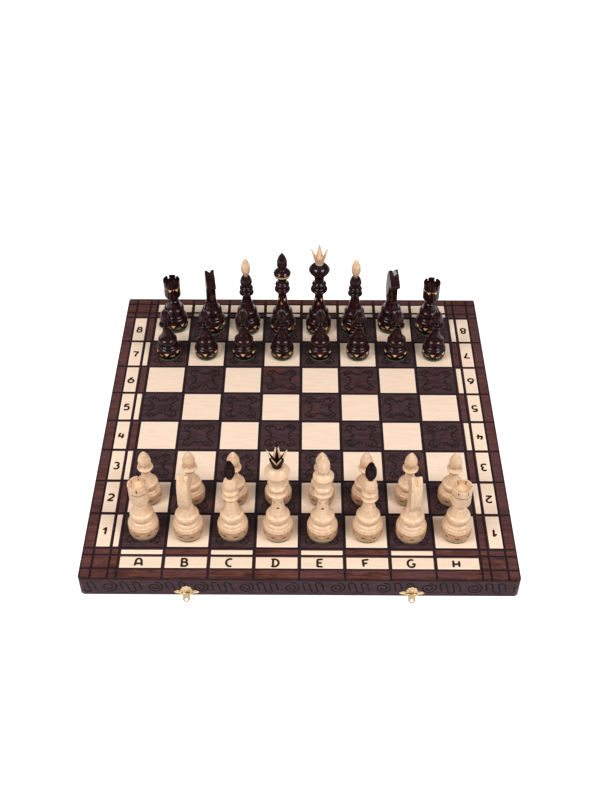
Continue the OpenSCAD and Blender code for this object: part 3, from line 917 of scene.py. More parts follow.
@dataclass(frozen=True)
class Profile:
    """A turned profile that starts at a foot radius, in millimetres."""

    foot: float
    parts: tuple[Stretch, ...]
    edge_round: float = 0.22
    round_share: float = 0.45
    step: float = 0.65
    band_step: float = 0.42
    core: float = 1.0

    @property
    def height(self) -> float:
        """How far the profile rises in all."""
        return sum(part.rise for part in self.parts)

    def corners(self, z: float) -> list[np.ndarray]:
        """The points of each stretch, with the profile's foot at height z.

        Args:
            z: The foot's height.

        Returns:
            One array of radius and height rows for each stretch.
        """
        start = np.array([self.foot, z])
        runs = [np.array([[0.0, z], [self.foot, z]])]
        for part in self.parts:
            end = np.array([part.radius, start[1] + part.rise])
            chord = end - start
            length = float(np.hypot(*chord))
            count = max(1, round(length / self.step))
            t = np.linspace(0, 1, count + 1)[:, None]
            side = np.array([chord[1], -chord[0]]) / max(length, 1e-9)
            runs.append(start + chord * t + side * (part.bow * 4 * t * (1 - t)))
            start = end
        return runs

    def points(self, z: float, bands: Sequence[tuple[float, float]] = ()) -> np.ndarray:
        """The whole profile as one line, with each corner between stretches slightly rounded.

        Args:
            z: The foot's height.
            bands: Heights between which the points lie close together.

        Returns:
            Rows of radius and height from the axis at the foot to the axis at the top.
        """
        runs = self.corners(z)
        line = [runs[0][0]]
        for before, after in zip(runs, runs[1:]):
            line.extend(before[1:-1])
            corner = before[-1]
            into, out = corner - before[-2], after[1] - corner
            into_length, out_length = np.hypot(*into), np.hypot(*out)
            reach = min(self.edge_round, self.round_share * into_length, self.round_share * out_length)
            a = corner - into / into_length * reach
            b = corner + out / out_length * reach
            line.extend([a, (a + 2 * corner + b) / 4, b])
        line.extend(runs[-1][1:])
        points = np.array(self._closer(line, bands))
        if points[-1][0] > 0:
            points = np.vstack([points, [0.0, points[-1][1]]])
        points[:, 0] = np.maximum(points[:, 0], 0)
        return points

    def _closer(self, line: Sequence[np.ndarray], bands: Sequence[tuple[float, float]]) -> list[np.ndarray]:
        """Adds points to a line within the bands.

        Args:
            line: Rows of radius and height.
            bands: The bands' lower and upper heights.

        Returns:
            The line with the points added.
        """
        found = [line[0]]
        for a, b in zip(line, line[1:]):
            middle = (a[1] + b[1]) / 2
            if a[0] > self.core and any(low - self.step < middle < high + self.step for low, high in bands):
                count = max(1, math.ceil(float(np.hypot(*(b - a))) / self.band_step))
                found.extend(a + (b - a) * i / count for i in range(1, count))
            found.append(b)
        return found


class PieceTree:
    """A Geometry Nodes tree that turns a plain mesh into a finished piece."""

    def __init__(self, name: str, inputs: Mapping[str, str], result: str) -> None:
        """Makes the tree with its named inputs and output, and wires it.

        Args:
            name: The tree's name.
            inputs: The socket type of each input, by the input's name.
            result: The output's name.
        """
        self.tree = bpy.data.node_groups.new(name, "GeometryNodeTree")
        face = self.tree.interface
        self.identifiers = {
            label: face.new_socket(label, in_out="INPUT", socket_type=f"NodeSocket{kind}").identifier
            for label, kind in inputs.items()
        }
        face.new_socket(result, in_out="OUTPUT", socket_type="NodeSocketGeometry")
        self.wire(Graph(self.tree))

    def wire(self, graph: Graph) -> None:
        """Adds the tree's nodes."""
        raise NotImplementedError

    def run(self, piece: bpy.types.Object, inputs: Mapping[str, object], gap: float) -> bpy.types.Object:
        """Runs the tree on a piece and keeps the result.

        Args:
            piece: The plain mesh.
            inputs: The inputs' values by their names.
            gap: Vertices closer than this, in metres, become one.

        Returns:
            The same object with the finished plain mesh.
        """
        modifier = piece.modifiers.new(self.tree.name, "NODES")
        modifier.node_group = self.tree
        for name, value in inputs.items():
            modifier[self.identifiers[name]] = value
        return cleaned(baked(piece), gap)


class Lathe(PieceTree):
    """A Geometry Nodes tree that turns a profile about the Z axis."""

    def __init__(self) -> None:
        """Builds the tree."""
        super().__init__(
            "turned_on_a_lathe", {"Profile": "Geometry", "Segments": "Int", "Finish": "Material"}, "Turned",
        )

    def wire(self, graph: Graph) -> None:
        """Adds the tree's nodes: a grid whose rows follow the profile and whose columns go round.

        Args:
            graph: The tree that the nodes go into.
        """
        given = graph.add("NodeGroupInput").outputs
        profile, segments = given["Profile"], given["Segments"]
        rings = graph.add("GeometryNodeAttributeDomainSize", {0: profile}).outputs["Point Count"]
        columns = graph.math("ADD", segments, 1.0)
        grid = graph.add("GeometryNodeMeshGrid", {"Vertices X": columns, "Vertices Y": rings})
        index = graph.add("GeometryNodeInputIndex").outputs[0]
        sample = graph.add("GeometryNodeSampleIndex", {
            "Geometry": profile, "Value": graph.add("GeometryNodeInputPosition").outputs[0],
            "Index": graph.math("MODULO", index, rings),
        }, data_type="FLOAT_VECTOR")
        column = graph.math("FLOOR", graph.math("DIVIDE", index, rings))
        turn = graph.math("DIVIDE", graph.math("MULTIPLY", column, math.tau), segments)
        spin = graph.add("ShaderNodeVectorRotate", {
            "Vector": sample.outputs[0], "Angle": turn,
        }, rotation_type="Z_AXIS")
        placed = graph.add("GeometryNodeSetPosition", {
            "Geometry": grid.outputs[0], "Position": spin.outputs[0],
        })
        merged = graph.add("GeometryNodeMergeByDistance", {
            "Geometry": placed.outputs[0], "Distance": TURNED_GAP,
        })
        graph.send(merged.outputs[0], given["Finish"], "Turned")

    def turn(self, name: str, points: np.ndarray, segments: int, finish: Finish) -> bpy.types.Object:
        """Turns one piece about the origin's Z axis.

        Args:
            name: The piece's name.
            points: Rows of radius and height in millimetres, from the axis to the axis.
            segments: Flats round the piece.
            finish: Its finish.

        Returns:
            The turned piece, with a plain closed mesh.
        """
        rows = np.column_stack([points[:, 0], np.zeros(len(points)), points[:, 1]]) * MM
        inputs = {"Segments": segments, "Finish": finish.material()}
        return self.run(mesh_object(name, rows, []), inputs, TURNED_GAP)


class Point(Enum):
    """Which way a chip's triangle points."""

    UP = 1
    DOWN = -1


@dataclass(frozen=True)
class Spots:
    """Places on a man: angles in degrees from its phase, with radii and heights in millimetres."""

    angle: np.ndarray
    radius: np.ndarray
    z: np.ndarray

    def across(self, count: int, first: float) -> np.ndarray:
        """How far each spot lies sideways from the nearest of several evenly spaced marks.

        Args:
            count: Marks round the man.
            first: The angle of one of them.

        Returns:
            Distances in millimetres.
        """
        pitch = 360 / count
        off = np.abs((self.angle - first + pitch / 2) % pitch - pitch / 2)
        return np.radians(off) * self.radius


UNCUT = -2.0
UNBURNT = -1.0


class Cut:
    """Cuts round a man, in millimetres and degrees, with heights above the square."""

    @property
    def band(self) -> tuple[float, float]:
        """The heights between which the cuts lie."""
        raise NotImplementedError

    def inside(self, spots: Spots) -> np.ndarray:
        """How far each spot lies inside bare wood, above 0 inside: none is bare, unless a kind says so."""
        return np.full(len(spots.z), UNCUT)

    def sink(self, spots: Spots) -> np.ndarray:
        """How deep the tool went at each spot."""
        raise NotImplementedError

    def burn(self, spots: Spots) -> np.ndarray:
        """Above 0 where the tool scorched the wood: nowhere, unless a kind says so."""
        return np.full(len(spots.z), UNBURNT)


class LevelCut(Cut):
    """Cuts that lie level round a man, about a middle height z."""

    z: float
    height: float

    @property
    def band(self) -> tuple[float, float]:
        """The heights between which the cuts lie."""
        return self.z - self.height / 2, self.z + self.height / 2


@dataclass(frozen=True)
class Chip(LevelCut):
    """A row of triangular chips."""

    z: float
    width: float
    height: float
    count: int
    first: float
    point: Point = Point.DOWN
    depth: float = 0.8
    wall: float = 1.3
    tip_share: float = 0.3
    burn_width: float = 0.65
    burn_middle: float = 0.55
    burn_reach: float = 0.3

    def _up(self, spots: Spots) -> np.ndarray:
        """How far each spot lies from the chips' middle towards their tips."""
        return (spots.z - self.z) * self.point.value

    def inside(self, spots: Spots) -> np.ndarray:
        """How far each spot lies inside the nearest chip's outline, above 0 inside.

        Args:
            spots: The spots.

        Returns:
            Distances in millimetres.
        """
        up = self._up(spots)
        slope = self.width / 2 / self.height
        across = spots.across(self.count, self.first)
        edge = ((self.height / 2 - up) * slope - across) / math.hypot(1, slope)
        return np.minimum(edge, up + self.height / 2)

    def sink(self, spots: Spots) -> np.ndarray:
        """How deep the gouge went: deepest at the triangle's flat side and shallow at its tip."""
        share = self.tip_share + (1 - self.tip_share) * np.clip(0.5 - self._up(spots) / self.height, 0, 1)
        return np.clip(self.inside(spots) * self.wall, 0, self.depth * share)

    def burn(self, spots: Spots) -> np.ndarray:
        """Above 0 along the flat side, where the tool scorched the wood."""
        edge = self.burn_width - np.abs(self._up(spots) + self.height / 2 - self.burn_middle)
        return np.where(self.inside(spots) > -self.burn_reach, edge, UNBURNT)


@dataclass(frozen=True)
class Lens(LevelCut):
    """A row of lens-shaped chips."""

    z: float
    width: float
    height: float
    count: int
    first: float
    depth: float = 0.4
    wall: float = 0.8
    burn_off: float = 0.22

    def inside(self, spots: Spots) -> np.ndarray:
        """How far each spot lies inside the nearest lens, above 0 inside.

        Args:
            spots: The spots.

        Returns:
            Distances in millimetres.
        """
        across = spots.across(self.count, self.first)
        half_w, half_h = self.width / 2, self.height / 2
        bend = (half_w**2 + half_h**2) / (2 * half_h)
        return bend - np.hypot(across, np.abs(spots.z - self.z) + bend - half_h)

    def sink(self, spots: Spots) -> np.ndarray:
        """How deep the gouge went, deepest along the middle."""
        return np.clip(self.inside(spots) * self.wall, 0, self.depth)

    def burn(self, spots: Spots) -> np.ndarray:
        """Above 0 in the middle, where the tool scorched the wood."""
        return self.inside(spots) - self.burn_off


@dataclass(frozen=True)
class Ring(LevelCut):
    """A bare turned ring."""

    z: float
    height: float
    depth: float = 0.15

    def inside(self, spots: Spots) -> np.ndarray:
        """How far each spot lies inside the ring, above 0 inside."""
        return self.height / 2 - np.abs(spots.z - self.z)

    def sink(self, spots: Spots) -> np.ndarray:
        """How deep the tool went."""
        return np.clip(self.inside(spots), 0, self.depth)


@dataclass(frozen=True)
class Flutes(Cut):
    """Shallow upright flutes round a pawn's head, which keep the man's colour."""

    low: float
    high: float
    count: int
    depth: float

    @property
    def band(self) -> tuple[float, float]:
        """The heights between which the flutes lie."""
        return self.low, self.high

    def sink(self, spots: Spots) -> np.ndarray:
        """How deep the tool went: deepest between two ribs and halfway up.

        Args:
            spots: The spots.

        Returns:
            Depths in millimetres.
        """
        share = np.clip((spots.z - self.low) / (self.high - self.low), 0, 1)
        wave = 0.5 + 0.5 * np.cos(np.radians(spots.angle * self.count))
        return self.depth * wave * np.sin(np.pi * share)


@dataclass(frozen=True)
class ManShape:
    """The turned shape of one kind of man and the cuts in it, which turn with the man's phase."""

    profile: Profile
    segments: int
    cuts: tuple[Cut, ...] = ()

    def points(self) -> np.ndarray:
        """The profile's points, close together where cuts are made."""
        return self.profile.points(WOOD_Z, [cut.band for cut in self.cuts])


BASE_D = 30.0
PAWN_BASE_D = 27.2
PAWN_EASE = 0.2
FELT_T = 1.6
FELT_INSET = 1.4
FELT_SOFT = 0.3
FELT_SEGMENTS = 96
GLUE_GAP = 0.02
WOOD_Z = FELT_T + GLUE_GAP
OFFICER_SEGMENTS = 128
PAWN_SEGMENTS = 112
RECESS_SLOPE = 0.8
# Painted shade low on the drum, fading out towards DRUM_TOP
DRUM_SHADE = 2.3
DRUM_TOP = 17.0
DRUM_FADE = 5.0
GREATEST_PHASE = 18
PHASE_SEED = 8
KNIGHT_SUNK = 1
ROOK_CUP_R = 7.3
ROOK_CUP_D = 6.0

OFFICER_BASE = (
    (14.9, 4, 0.5), (15.0, 9.2, 0.1), (14.4, 0.7, 0.15), (13.0, 3, 0.5), (10.7, 3.3, 0.7), (10.3, 0.8, -0.3),
    (11.0, 1.2, 0.3), (11.8, 3.4, 0.3), (9.4, 4.2, 0.8), (6.6, 9.3, -0.5),
)
KING_TOP = (
    (5.2, 9, -0.25), (4.8, 5.3, -0.1), (7.5, 3.8, -0.6), (9.8, 2.4, 0.3), (8.6, 2, 0.5), (5.7, 1.6, -0.5),
    (6.3, 2, -0.3), (8.3, 2.4, 0.3), (6.9, 2, 0.4), (5.4, 3.5, -0.6), (5.7, 2.5, -0.1), (9.2, 7.2, -0.7),
    (12.0, 4.8, 0.3), (11.7, 1.6, 0.3), (4.6, 6.2, 1),
)
QUEEN_TOP = (
    (5.2, 9.3, -0.25), (4.8, 5.2, -0.1), (7.2, 3.8, -0.6), (9, 2.3, 0.3), (7.9, 2, 0.5), (5.6, 1.5, -0.5),
    (6.3, 1.6, -0.3), (8.2, 2.2, 0.3), (6.8, 2, 0.4), (5, 3.7, -0.7), (5.5, 2.3, -0.2), (9.2, 4.2, -0.8),
    (10.0, 3.4, 0.2), (9.2, 1.8, 0.3), (4.7, 3.4, 0.5), (3.7, 1.4, -0.2), (5.9, 7.6, 1), (5, 6.2, 0.4),
    (2.3, 5.4, 0.2), (0, 4, -0.2),
)
BISHOP_TOP = (
    (4.9, 7.3, -0.2), (5.6, 3.4, -0.3), (8.5, 3, -0.4), (7.6, 1.6, 0.4), (5.6, 1.6, -0.5), (6, 1.6, -0.2),
    (7.9, 2, 0.3), (6.7, 1.6, 0.4), (4.6, 2, -0.4), (7.0, 5.4, 0.6), (6.5, 3, 0.2), (3.3, 6.4, 0.5),
)
ROOK_TOP = (
    (5.4, 1.6, -0.2), (5.1, 1.6, -0.1), (9.6, 4.8, 0.5), (9.7, 20.4, 0), (9.9, 1, 0.1), (ROOK_CUP_R, 0, 0),
    (ROOK_CUP_R - 0.3, 1 - ROOK_CUP_D, 0), (0, -1, 0.2),
)
KNIGHT_TOP = ((6.1, 1.5, -0.1), (0, 0, 0))
PAWN_ROWS = (
    (13.4, 3.8, 0.5), (13.6, 6.6, 0.1), (13.0, 0.7, 0.15), (11.7, 2.2, 0.5), (9.5, 2.6, 0.6),
    (9.2, 0.8, -0.3), (9.9, 1, 0.3), (10.8, 3.2, 0.3), (8.9, 3.8, 0.7), (6, 5.2, -0.2), (4.3, 7, -0.3),
    (5.3, 3.4, -0.3), (7.9, 3.4, -0.5), (7.0, 1.6, 0.4), (3.8, 1.4, -0.3), (6.4, 6.6, 0.8), (5.0, 5.4, 0.3),
    (0, 7.4, 0.6),
)
OFFICER_CUTS = (Chip(10.8, 6.6, 4.6, 8, 0.0), Lens(8.2, 5.6, 2.5, 8, 22.5))
PAWN_CUTS = (Chip(9.7, 6.4, 4.4, 6, 0.0), Lens(7.6, 6.0, 2.5, 6, 30.0), Flutes(47.5, 62.0, 14, 0.3))
STEM_CUTS = (Chip(48.4, 3.6, 4.8, 4, 45.0), Chip(44.6, 3.4, 3.8, 4, 0.0, Point.UP))
ROOK_CUTS = (Chip(60.2, 5.6, 4.2, 7, 0.0, depth=1.0), Chip(61.6, 3.0, 2.2, 7, 25.7))
QUEEN_RING = Ring(83.6, 1.7)


def officer(top: Sequence[tuple[float, float, float]], *cuts: Cut) -> ManShape:
    """The shape of a large man with its own top on the common base."""
    profile = Profile(BASE_D / 2 - FELT_INSET, stretches(*OFFICER_BASE, *top))
    return ManShape(profile, OFFICER_SEGMENTS, OFFICER_CUTS + cuts)


def pawn() -> ManShape:
    """The shape of a pawn."""
    profile = Profile(PAWN_BASE_D / 2 - FELT_INSET + PAWN_EASE, stretches(*PAWN_ROWS))
    return ManShape(profile, PAWN_SEGMENTS, PAWN_CUTS)


SHAPES: dict[Kind, ManShape] = {
    Kind.KING: officer(KING_TOP, *STEM_CUTS),
    Kind.QUEEN: officer(QUEEN_TOP, *STEM_CUTS, QUEEN_RING),
    Kind.BISHOP: officer(BISHOP_TOP),
    Kind.ROOK: officer(ROOK_TOP, *ROOK_CUTS),
    Kind.KNIGHT: officer(KNIGHT_TOP),
    Kind.PAWN: pawn(),
}
TURNS = {
    "white_rook_h1": 30.0, "black_rook_a8": 30.0, "black_rook_h8": 30.0,
    "white_knight_b1": -9.0, "white_knight_g1": 8.0, "black_knight_b8": 192.0, "black_knight_g8": 195.0,
}


@dataclass(frozen=True)
class RookCrown:
    """The battlement notches in a rook's rim, in millimetres."""

    width: float
    depth: float
    notches: int = 6
    overlap: float = 1.0
    above: float = 2.0
    scorch_reach: float = 0.1
    scorch: float = 0.07

    def cutter(self, rim: float) -> bpy.types.Object:
        """A ring of blocks that cut the notches.

        Args:
            rim: The rim's height above the man's foot.

        Returns:
            The cutter object.
        """
        vertices: list[Vector] = []
        faces: list[list[int]] = []
        for i in range(self.notches):
            turn = Matrix.Rotation(math.tau * (i + 0.5) / self.notches, 4, "Z")
            first = len(vertices)
            for x in (ROOK_CUP_R - self.overlap, BASE_D / 2):
                for y in (-self.width / 2, self.width / 2):
                    for z in (rim - self.depth, rim + self.above):
                        vertices.append(turn @ Vector((x, y, z)) * MM)
            for face in ((0, 1, 3, 2), (4, 6, 7, 5), (0, 4, 5, 1), (2, 3, 7, 6), (0, 2, 6, 4), (1, 5, 7, 3)):
                faces.append([first + j for j in face])
        return mesh_object("notch_cutter", vertices, faces)

    def burn(self, places: np.ndarray, rim: float) -> np.ndarray:
        """Above 0 on the notches' floors, which the saw scorched.

        Args:
            places: Rows of coordinates in millimetres.
            rim: The rim's height.

        Returns:
            One value for each row.
        """
        pitch = 360 / self.notches
        angle = np.degrees(np.arctan2(places[:, 1], places[:, 0]))
        off = np.abs((angle % pitch) - pitch / 2)
        radius = np.hypot(places[:, 0], places[:, 1])
        between = np.sin(np.radians(off)) * radius < (self.width + self.scorch_reach) / 2
        on_floor = np.abs(places[:, 2] - rim + self.depth) < self.scorch_reach
        return np.where(between & on_floor & (radius > ROOK_CUP_R - self.overlap), self.scorch, UNBURNT)


ROOK_CROWNS = {Side.WHITE: RookCrown(1.4, 4.2), Side.BLACK: RookCrown(2.2, 5.0)}


@dataclass(frozen=True)
class KnightHead:
    """A knight's head as a rounded slab, in millimetres forward and up from the top of the stem."""

    outline: tuple[Place, ...] = (
        (-3.8, 0), (-6.2, 2.4), (-8.2, 6), (-9.2, 12), (-9.2, 20), (-8.6, 28), (-7.4, 36.4), (-4.6, 42),
        (-0.8, 45.6), (0.6, 43.4), (2.6, 41.4), (5.6, 37.4), (8.6, 33), (10.6, 29.6), (11, 27.4),
        (10.6, 25.4), (8.8, 24.4), (6.2, 25.6), (4.3, 23.4), (3.6, 18), (3.6, 10), (4.4, 3.5), (4.4, 0),
    )
    thickness: float = 10.8
    edge: float = 1.0
    edge_steps: int = 4
    edge_crease: float = 50.0
    notch_at: Place = (-7.4, 36.4)
    notch_tilt: float = 38.0
    notch_width: float = 6.0
    notch_depth: float = 3.4
    notch_length: float = 20.0

    def slab(self, z: float) -> bpy.types.Object:
        """The head's slab with its foot at height z.

        Args:
            z: The foot's height above the man's foot.

        Returns:
            The slab with bevelled edges and the notch between its ears.
        """
        count = len(self.outline)
        half = self.thickness / 2
        vertices = [(side * half, y, up + z) for side in (-1, 1) for y, up in self.outline]
        faces = [list(range(count)), list(range(2 * count - 1, count - 1, -1))]
        faces += [[i, i + count, (i + 1) % count + count, (i + 1) % count] for i in range(count)]
        slab = cleaned(mesh_object("knight_head", np.array(vertices) * MM, faces))
        edge_rounding(slab, self.edge, self.edge_steps, self.edge_crease)
        baked(slab)
        cut_away(slab, self._notch(z))
        return slab

    def _notch(self, z: float) -> bpy.types.Object:
        """The prism that cuts the notch between the ears.

        Args:
            z: The height of the head's foot.

        Returns:
            The cutter object.
        """
        half, depth, length = self.notch_width / 2, self.notch_depth, self.notch_length
        section = [(0, 0), (-half, -depth), (-half, -length), (half, -length), (half, -depth)]
        tilt = Matrix.Rotation(math.radians(self.notch_tilt - 90), 4, "X")
        vertices = [
            tilt @ Vector((x, y, along)) + Vector((0, self.notch_at[0], self.notch_at[1] + z))
            for along in (-length / 2, 1.5 * length) for x, y in section
        ]
        sides = [[i, (i + 1) % 5, (i + 1) % 5 + 5, i + 5] for i in range(5)]
        faces = [[4, 3, 2, 1, 0], [5, 6, 7, 8, 9], *sides]
        return cleaned(mesh_object("notch_cutter", np.array(vertices) * MM, faces))


@dataclass(frozen=True)
class Man:
    """One man as it stands in the frame."""

    node: str
    side: Side
    kind: Kind
    phase: float

    @property
    def finish(self) -> Finish:
        """The man's wood."""
        return LIGHT_MAN if self.side is Side.WHITE else DARK_MAN

    @property
    def shape(self) -> ManShape:
        """The man's turned shape."""
        return SHAPES[self.kind]

    def build(self, lathe: Lathe) -> None:
        """Makes the man's wood and felt where its node stands, in place of the node.

        Args:
            lathe: The tree that turns the profiles.
        """
        wood = lathe.turn(f"{self.node}_wood", self.shape.points(), self.shape.segments, self.finish)
        rim = WOOD_Z + self.shape.profile.height + ROOK_CUP_D
        self._carve(wood)
        if self.kind is Kind.ROOK:
            cut_away(wood, ROOK_CROWNS[self.side].cutter(rim))
        self._mark(wood, rim)
        if self.kind is Kind.KNIGHT:
            self._join(wood, KnightHead().slab(WOOD_Z + sum(row[1] for row in OFFICER_BASE) - KNIGHT_SUNK))
        self._one_finish(wood)
        base = PAWN_BASE_D if self.kind is Kind.PAWN else BASE_D
        felt = lathe.turn(f"{self.node}_felt", self._pad(base / 2 - FELT_INSET), FELT_SEGMENTS, FELT)
        self._stand(wood, felt)

    def _spots(self, places: np.ndarray) -> Spots:
        """The spots at rows of coordinates in millimetres."""
        angle = np.degrees(np.arctan2(places[:, 0], -places[:, 1])) - self.phase
        return Spots(angle, np.hypot(places[:, 0], places[:, 1]), places[:, 2])

    def _carve(self, wood: bpy.types.Object) -> None:
        """Sinks the cuts into the turned surface.

        Args:
            wood: The man's wood, about the origin.
        """
        places = vertex_places(wood.data)
        spots = self._spots(places)
        sink = np.zeros(len(places))
        for cut in self.shape.cuts:
            sink = np.maximum(sink, cut.sink(spots))
        radius = spots.radius
        keep = np.where(radius > self.shape.profile.core, (radius - sink) / np.maximum(radius, 1e-6), 1)
        places[:, :2] *= keep[:, None]
        wood.data.vertices.foreach_set("co", (places * MM).ravel())

    def _recess(self, spots: Spots) -> np.ndarray:
        """How much painted shade each spot gets: how far it lies behind the turned parts just above and below
        it, and more low on the drum.

        Args:
            spots: The spots.

        Returns:
            Depths in millimetres that set the painted shade, at least the drum's painted shade low on the
            drum and none in a rook's cup.
        """
        line = self.shape.points()
        reach = line[:, 0] - RECESS_SLOPE * np.abs(spots.z[:, None] - line[:, 1])
        # Painted shade, deepest low on the drum and fading out towards DRUM_TOP
        drum_shade = DRUM_SHADE * np.clip((DRUM_TOP - spots.z) / DRUM_FADE, 0.0, 1.0)
        recess = np.maximum(reach.max(axis=1) - spots.radius, drum_shade)
        return np.where(spots.radius < ROOK_CUP_R, 0.0, recess) if self.kind is Kind.ROOK else recess

    def _mark(self, wood: bpy.types.Object, rim: float) -> None:
        """Stores how far each vertex lies inside a cut and a scorch, and how much painted shade it gets.

        Args:
            wood: The man's wood, about the origin.
            rim: The height of a rook's rim.
        """
        places = vertex_places(wood.data)
        spots = self._spots(places)
        inside = np.full(len(places), UNCUT)
        burn = np.full(len(places), UNBURNT)
        for cut in self.shape.cuts:
            inside = np.maximum(inside, cut.inside(spots))
            burn = np.maximum(burn, cut.burn(spots))
        if self.kind is Kind.ROOK and self.side is Side.WHITE:
            burn = np.maximum(burn, ROOK_CROWNS[self.side].burn(places, rim))
        store(wood.data, {"cut": inside, "burn": burn, "recess": self._recess(spots)})

    @staticmethod
    def _join(wood: bpy.types.Object, part: bpy.types.Object) -> None:
        """Adds another part's mesh, which has no cuts, to the wood.

        Args:
            wood: The man's wood.
            part: The part, which is removed.
        """
        plain = np.ones(len(part.data.vertices))
        store(part.data, {"cut": plain * UNCUT, "burn": plain * UNBURNT, "recess": plain * 0.0})
        work = bmesh.new()
        work.from_mesh(wood.data)
        work.from_mesh(part.data)
        work.to_mesh(wood.data)
        work.free()
        bpy.data.objects.remove(part)

    def _one_finish(self, wood: bpy.types.Object) -> None:
        """Gives every face of the wood the man's finish.

        Args:
            wood: The man's wood.
        """
        wood.data.materials.clear()
        wood.data.materials.append(self.finish.material())
        wood.data.polygons.foreach_set("material_index", np.zeros(len(wood.data.polygons), dtype=np.int32))

    @staticmethod
    def _pad(radius: float) -> np.ndarray:
        """The felt pad's outline with soft edges.

        Args:
            radius: The pad's radius in millimetres.

        Returns:
            Rows of radius and height.
        """
        soft, top = FELT_SOFT, FELT_T
        return np.array([
            [0, 0], [radius - soft, 0], [radius - soft / 4, soft / 4], [radius, soft],
            [radius, top - soft], [radius - soft / 4, top - soft / 4], [radius - soft, top], [0, top],
        ])

    def _stand(self, wood: bpy.types.Object, felt: bpy.types.Object) -> None:
        """Moves the pieces onto the node's axis and hands them to its body.

        Args:
            wood: The man's wood.
            felt: The pad under it.
        """
        low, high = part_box(self.node)
        spot = Vector(((low.x + high.x) / 2, (low.y + high.y) / 2, low.z))
        turn = Matrix.Rotation(math.radians(TURNS.get(self.node, 0.0)), 4, "Z")
        for piece, slot in ((wood, f"{self.side.value}_men"), (felt, "felt")):
            piece.data.transform(Matrix.Translation(spot) @ turn)
            smooth(piece)
            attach(piece, self.node)
            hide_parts(self.node)


@dataclass(frozen=True)
class Bow:
    """A part of an ellipse in a stroke, in the stroke's own units and in degrees."""

    x: float
    y: float
    wide: float
    high: float
    start: float
    end: float
    step: float = 12.0
    least_steps: int = 4

    def places(self) -> list[Place]:
        """Finds the places along the bow.

        Returns:
            The places from the start to the end.
        """
        count = max(self.least_steps, round(abs(self.end - self.start) / self.step))
        angles = [math.radians(self.start + (self.end - self.start) * i / count) for i in range(count + 1)]
        return [(self.x + self.wide * math.cos(a), self.y + self.high * math.sin(a)) for a in angles]


Stroke = tuple[Place | Bow, ...]

SIGNS: dict[str, tuple[Stroke, ...]] = {
    "A": (((-0.4, 0.0), (-0.31, 0.5), Bow(0.0, 0.66, 0.3, 0.34, 172, 8), (0.34, 0.4), (0.4, 0.0)),
          ((-0.34, 0.33), (0.36, 0.33))),
    "B": (((-0.22, 0.02), (-0.24, 0.98)),
          ((-0.4, 0.98), (0.0, 1.0), Bow(0.06, 0.77, 0.23, 0.23, 90, -90), (-0.2, 0.54)),
          ((0.06, 0.54), Bow(0.08, 0.27, 0.3, 0.27, 90, -90), (-0.4, 0.02))),
    "C": ((Bow(0.08, 0.5, 0.42, 0.5, 55, 300),),),
    "D": (((-0.18, 0.02), (-0.18, 0.98)),
          ((-0.42, 0.98), (0.0, 0.98), Bow(0.02, 0.5, 0.4, 0.48, 90, -90), (-0.42, 0.02))),
    "E": (((0.34, 1.0), (-0.28, 0.96), (-0.3, 0.04), (0.32, 0.0)), ((-0.28, 0.52), (0.22, 0.52))),
    "F": (((0.38, 1.0), (-0.3, 0.92), (-0.2, 0.0)), ((-0.24, 0.48), (0.24, 0.54))),
    "G": ((Bow(0.04, 0.5, 0.4, 0.5, 50, 320), (0.4, 0.44), (0.08, 0.44)),),
    "H": (((-0.32, 0.98), (-0.34, 0.0)), ((0.3, 0.9), (0.3, 0.06)), ((-0.33, 0.44), (0.3, 0.46))),
    "1": (((-0.3, 0.66), (-0.1, 0.78), (0.08, 1.0), (0.02, 0.0)),),
    "2": ((Bow(0.0, 0.72, 0.3, 0.28, 165, -35), (-0.32, 0.03), (0.36, 0.05)),),
    "3": ((Bow(-0.02, 0.76, 0.27, 0.24, 155, -90),), (Bow(-0.02, 0.27, 0.31, 0.27, 90, -155),)),
    "4": (((-0.16, 0.96), (-0.34, 0.36), (0.36, 0.38)), ((0.18, 0.84), (0.1, 0.0))),
    "5": (((0.34, 1.0), (-0.16, 0.98), (-0.24, 0.56), Bow(0.0, 0.32, 0.32, 0.32, 110, -150)),),
    "6": (((0.22, 0.98), (-0.12, 0.78), Bow(0.0, 0.3, 0.34, 0.3, 165, 525)),),
    "7": (((-0.34, 0.86), (-0.2, 0.98), (0.36, 0.94), (0.08, 0.5), (0.0, 0.0)),),
    "8": ((Bow(0.0, 0.76, 0.24, 0.23, -90, 280),), (Bow(0.0, 0.27, 0.31, 0.27, 90, 460),)),
}


def line_of(stroke: Stroke) -> list[Place]:
    """Fills in the bows of a stroke.

    Args:
        stroke: The stroke.

    Returns:
        The places along it.
    """
    found: list[Place] = []
    for item in stroke:
        found.extend(item.places() if isinstance(item, Bow) else [item])
    return found


@dataclass(frozen=True)
class Pen:
    """How a stroke is drawn, in millimetres."""

    finish: Finish
    width: float
    relief: float
    uneven: float = 0.0


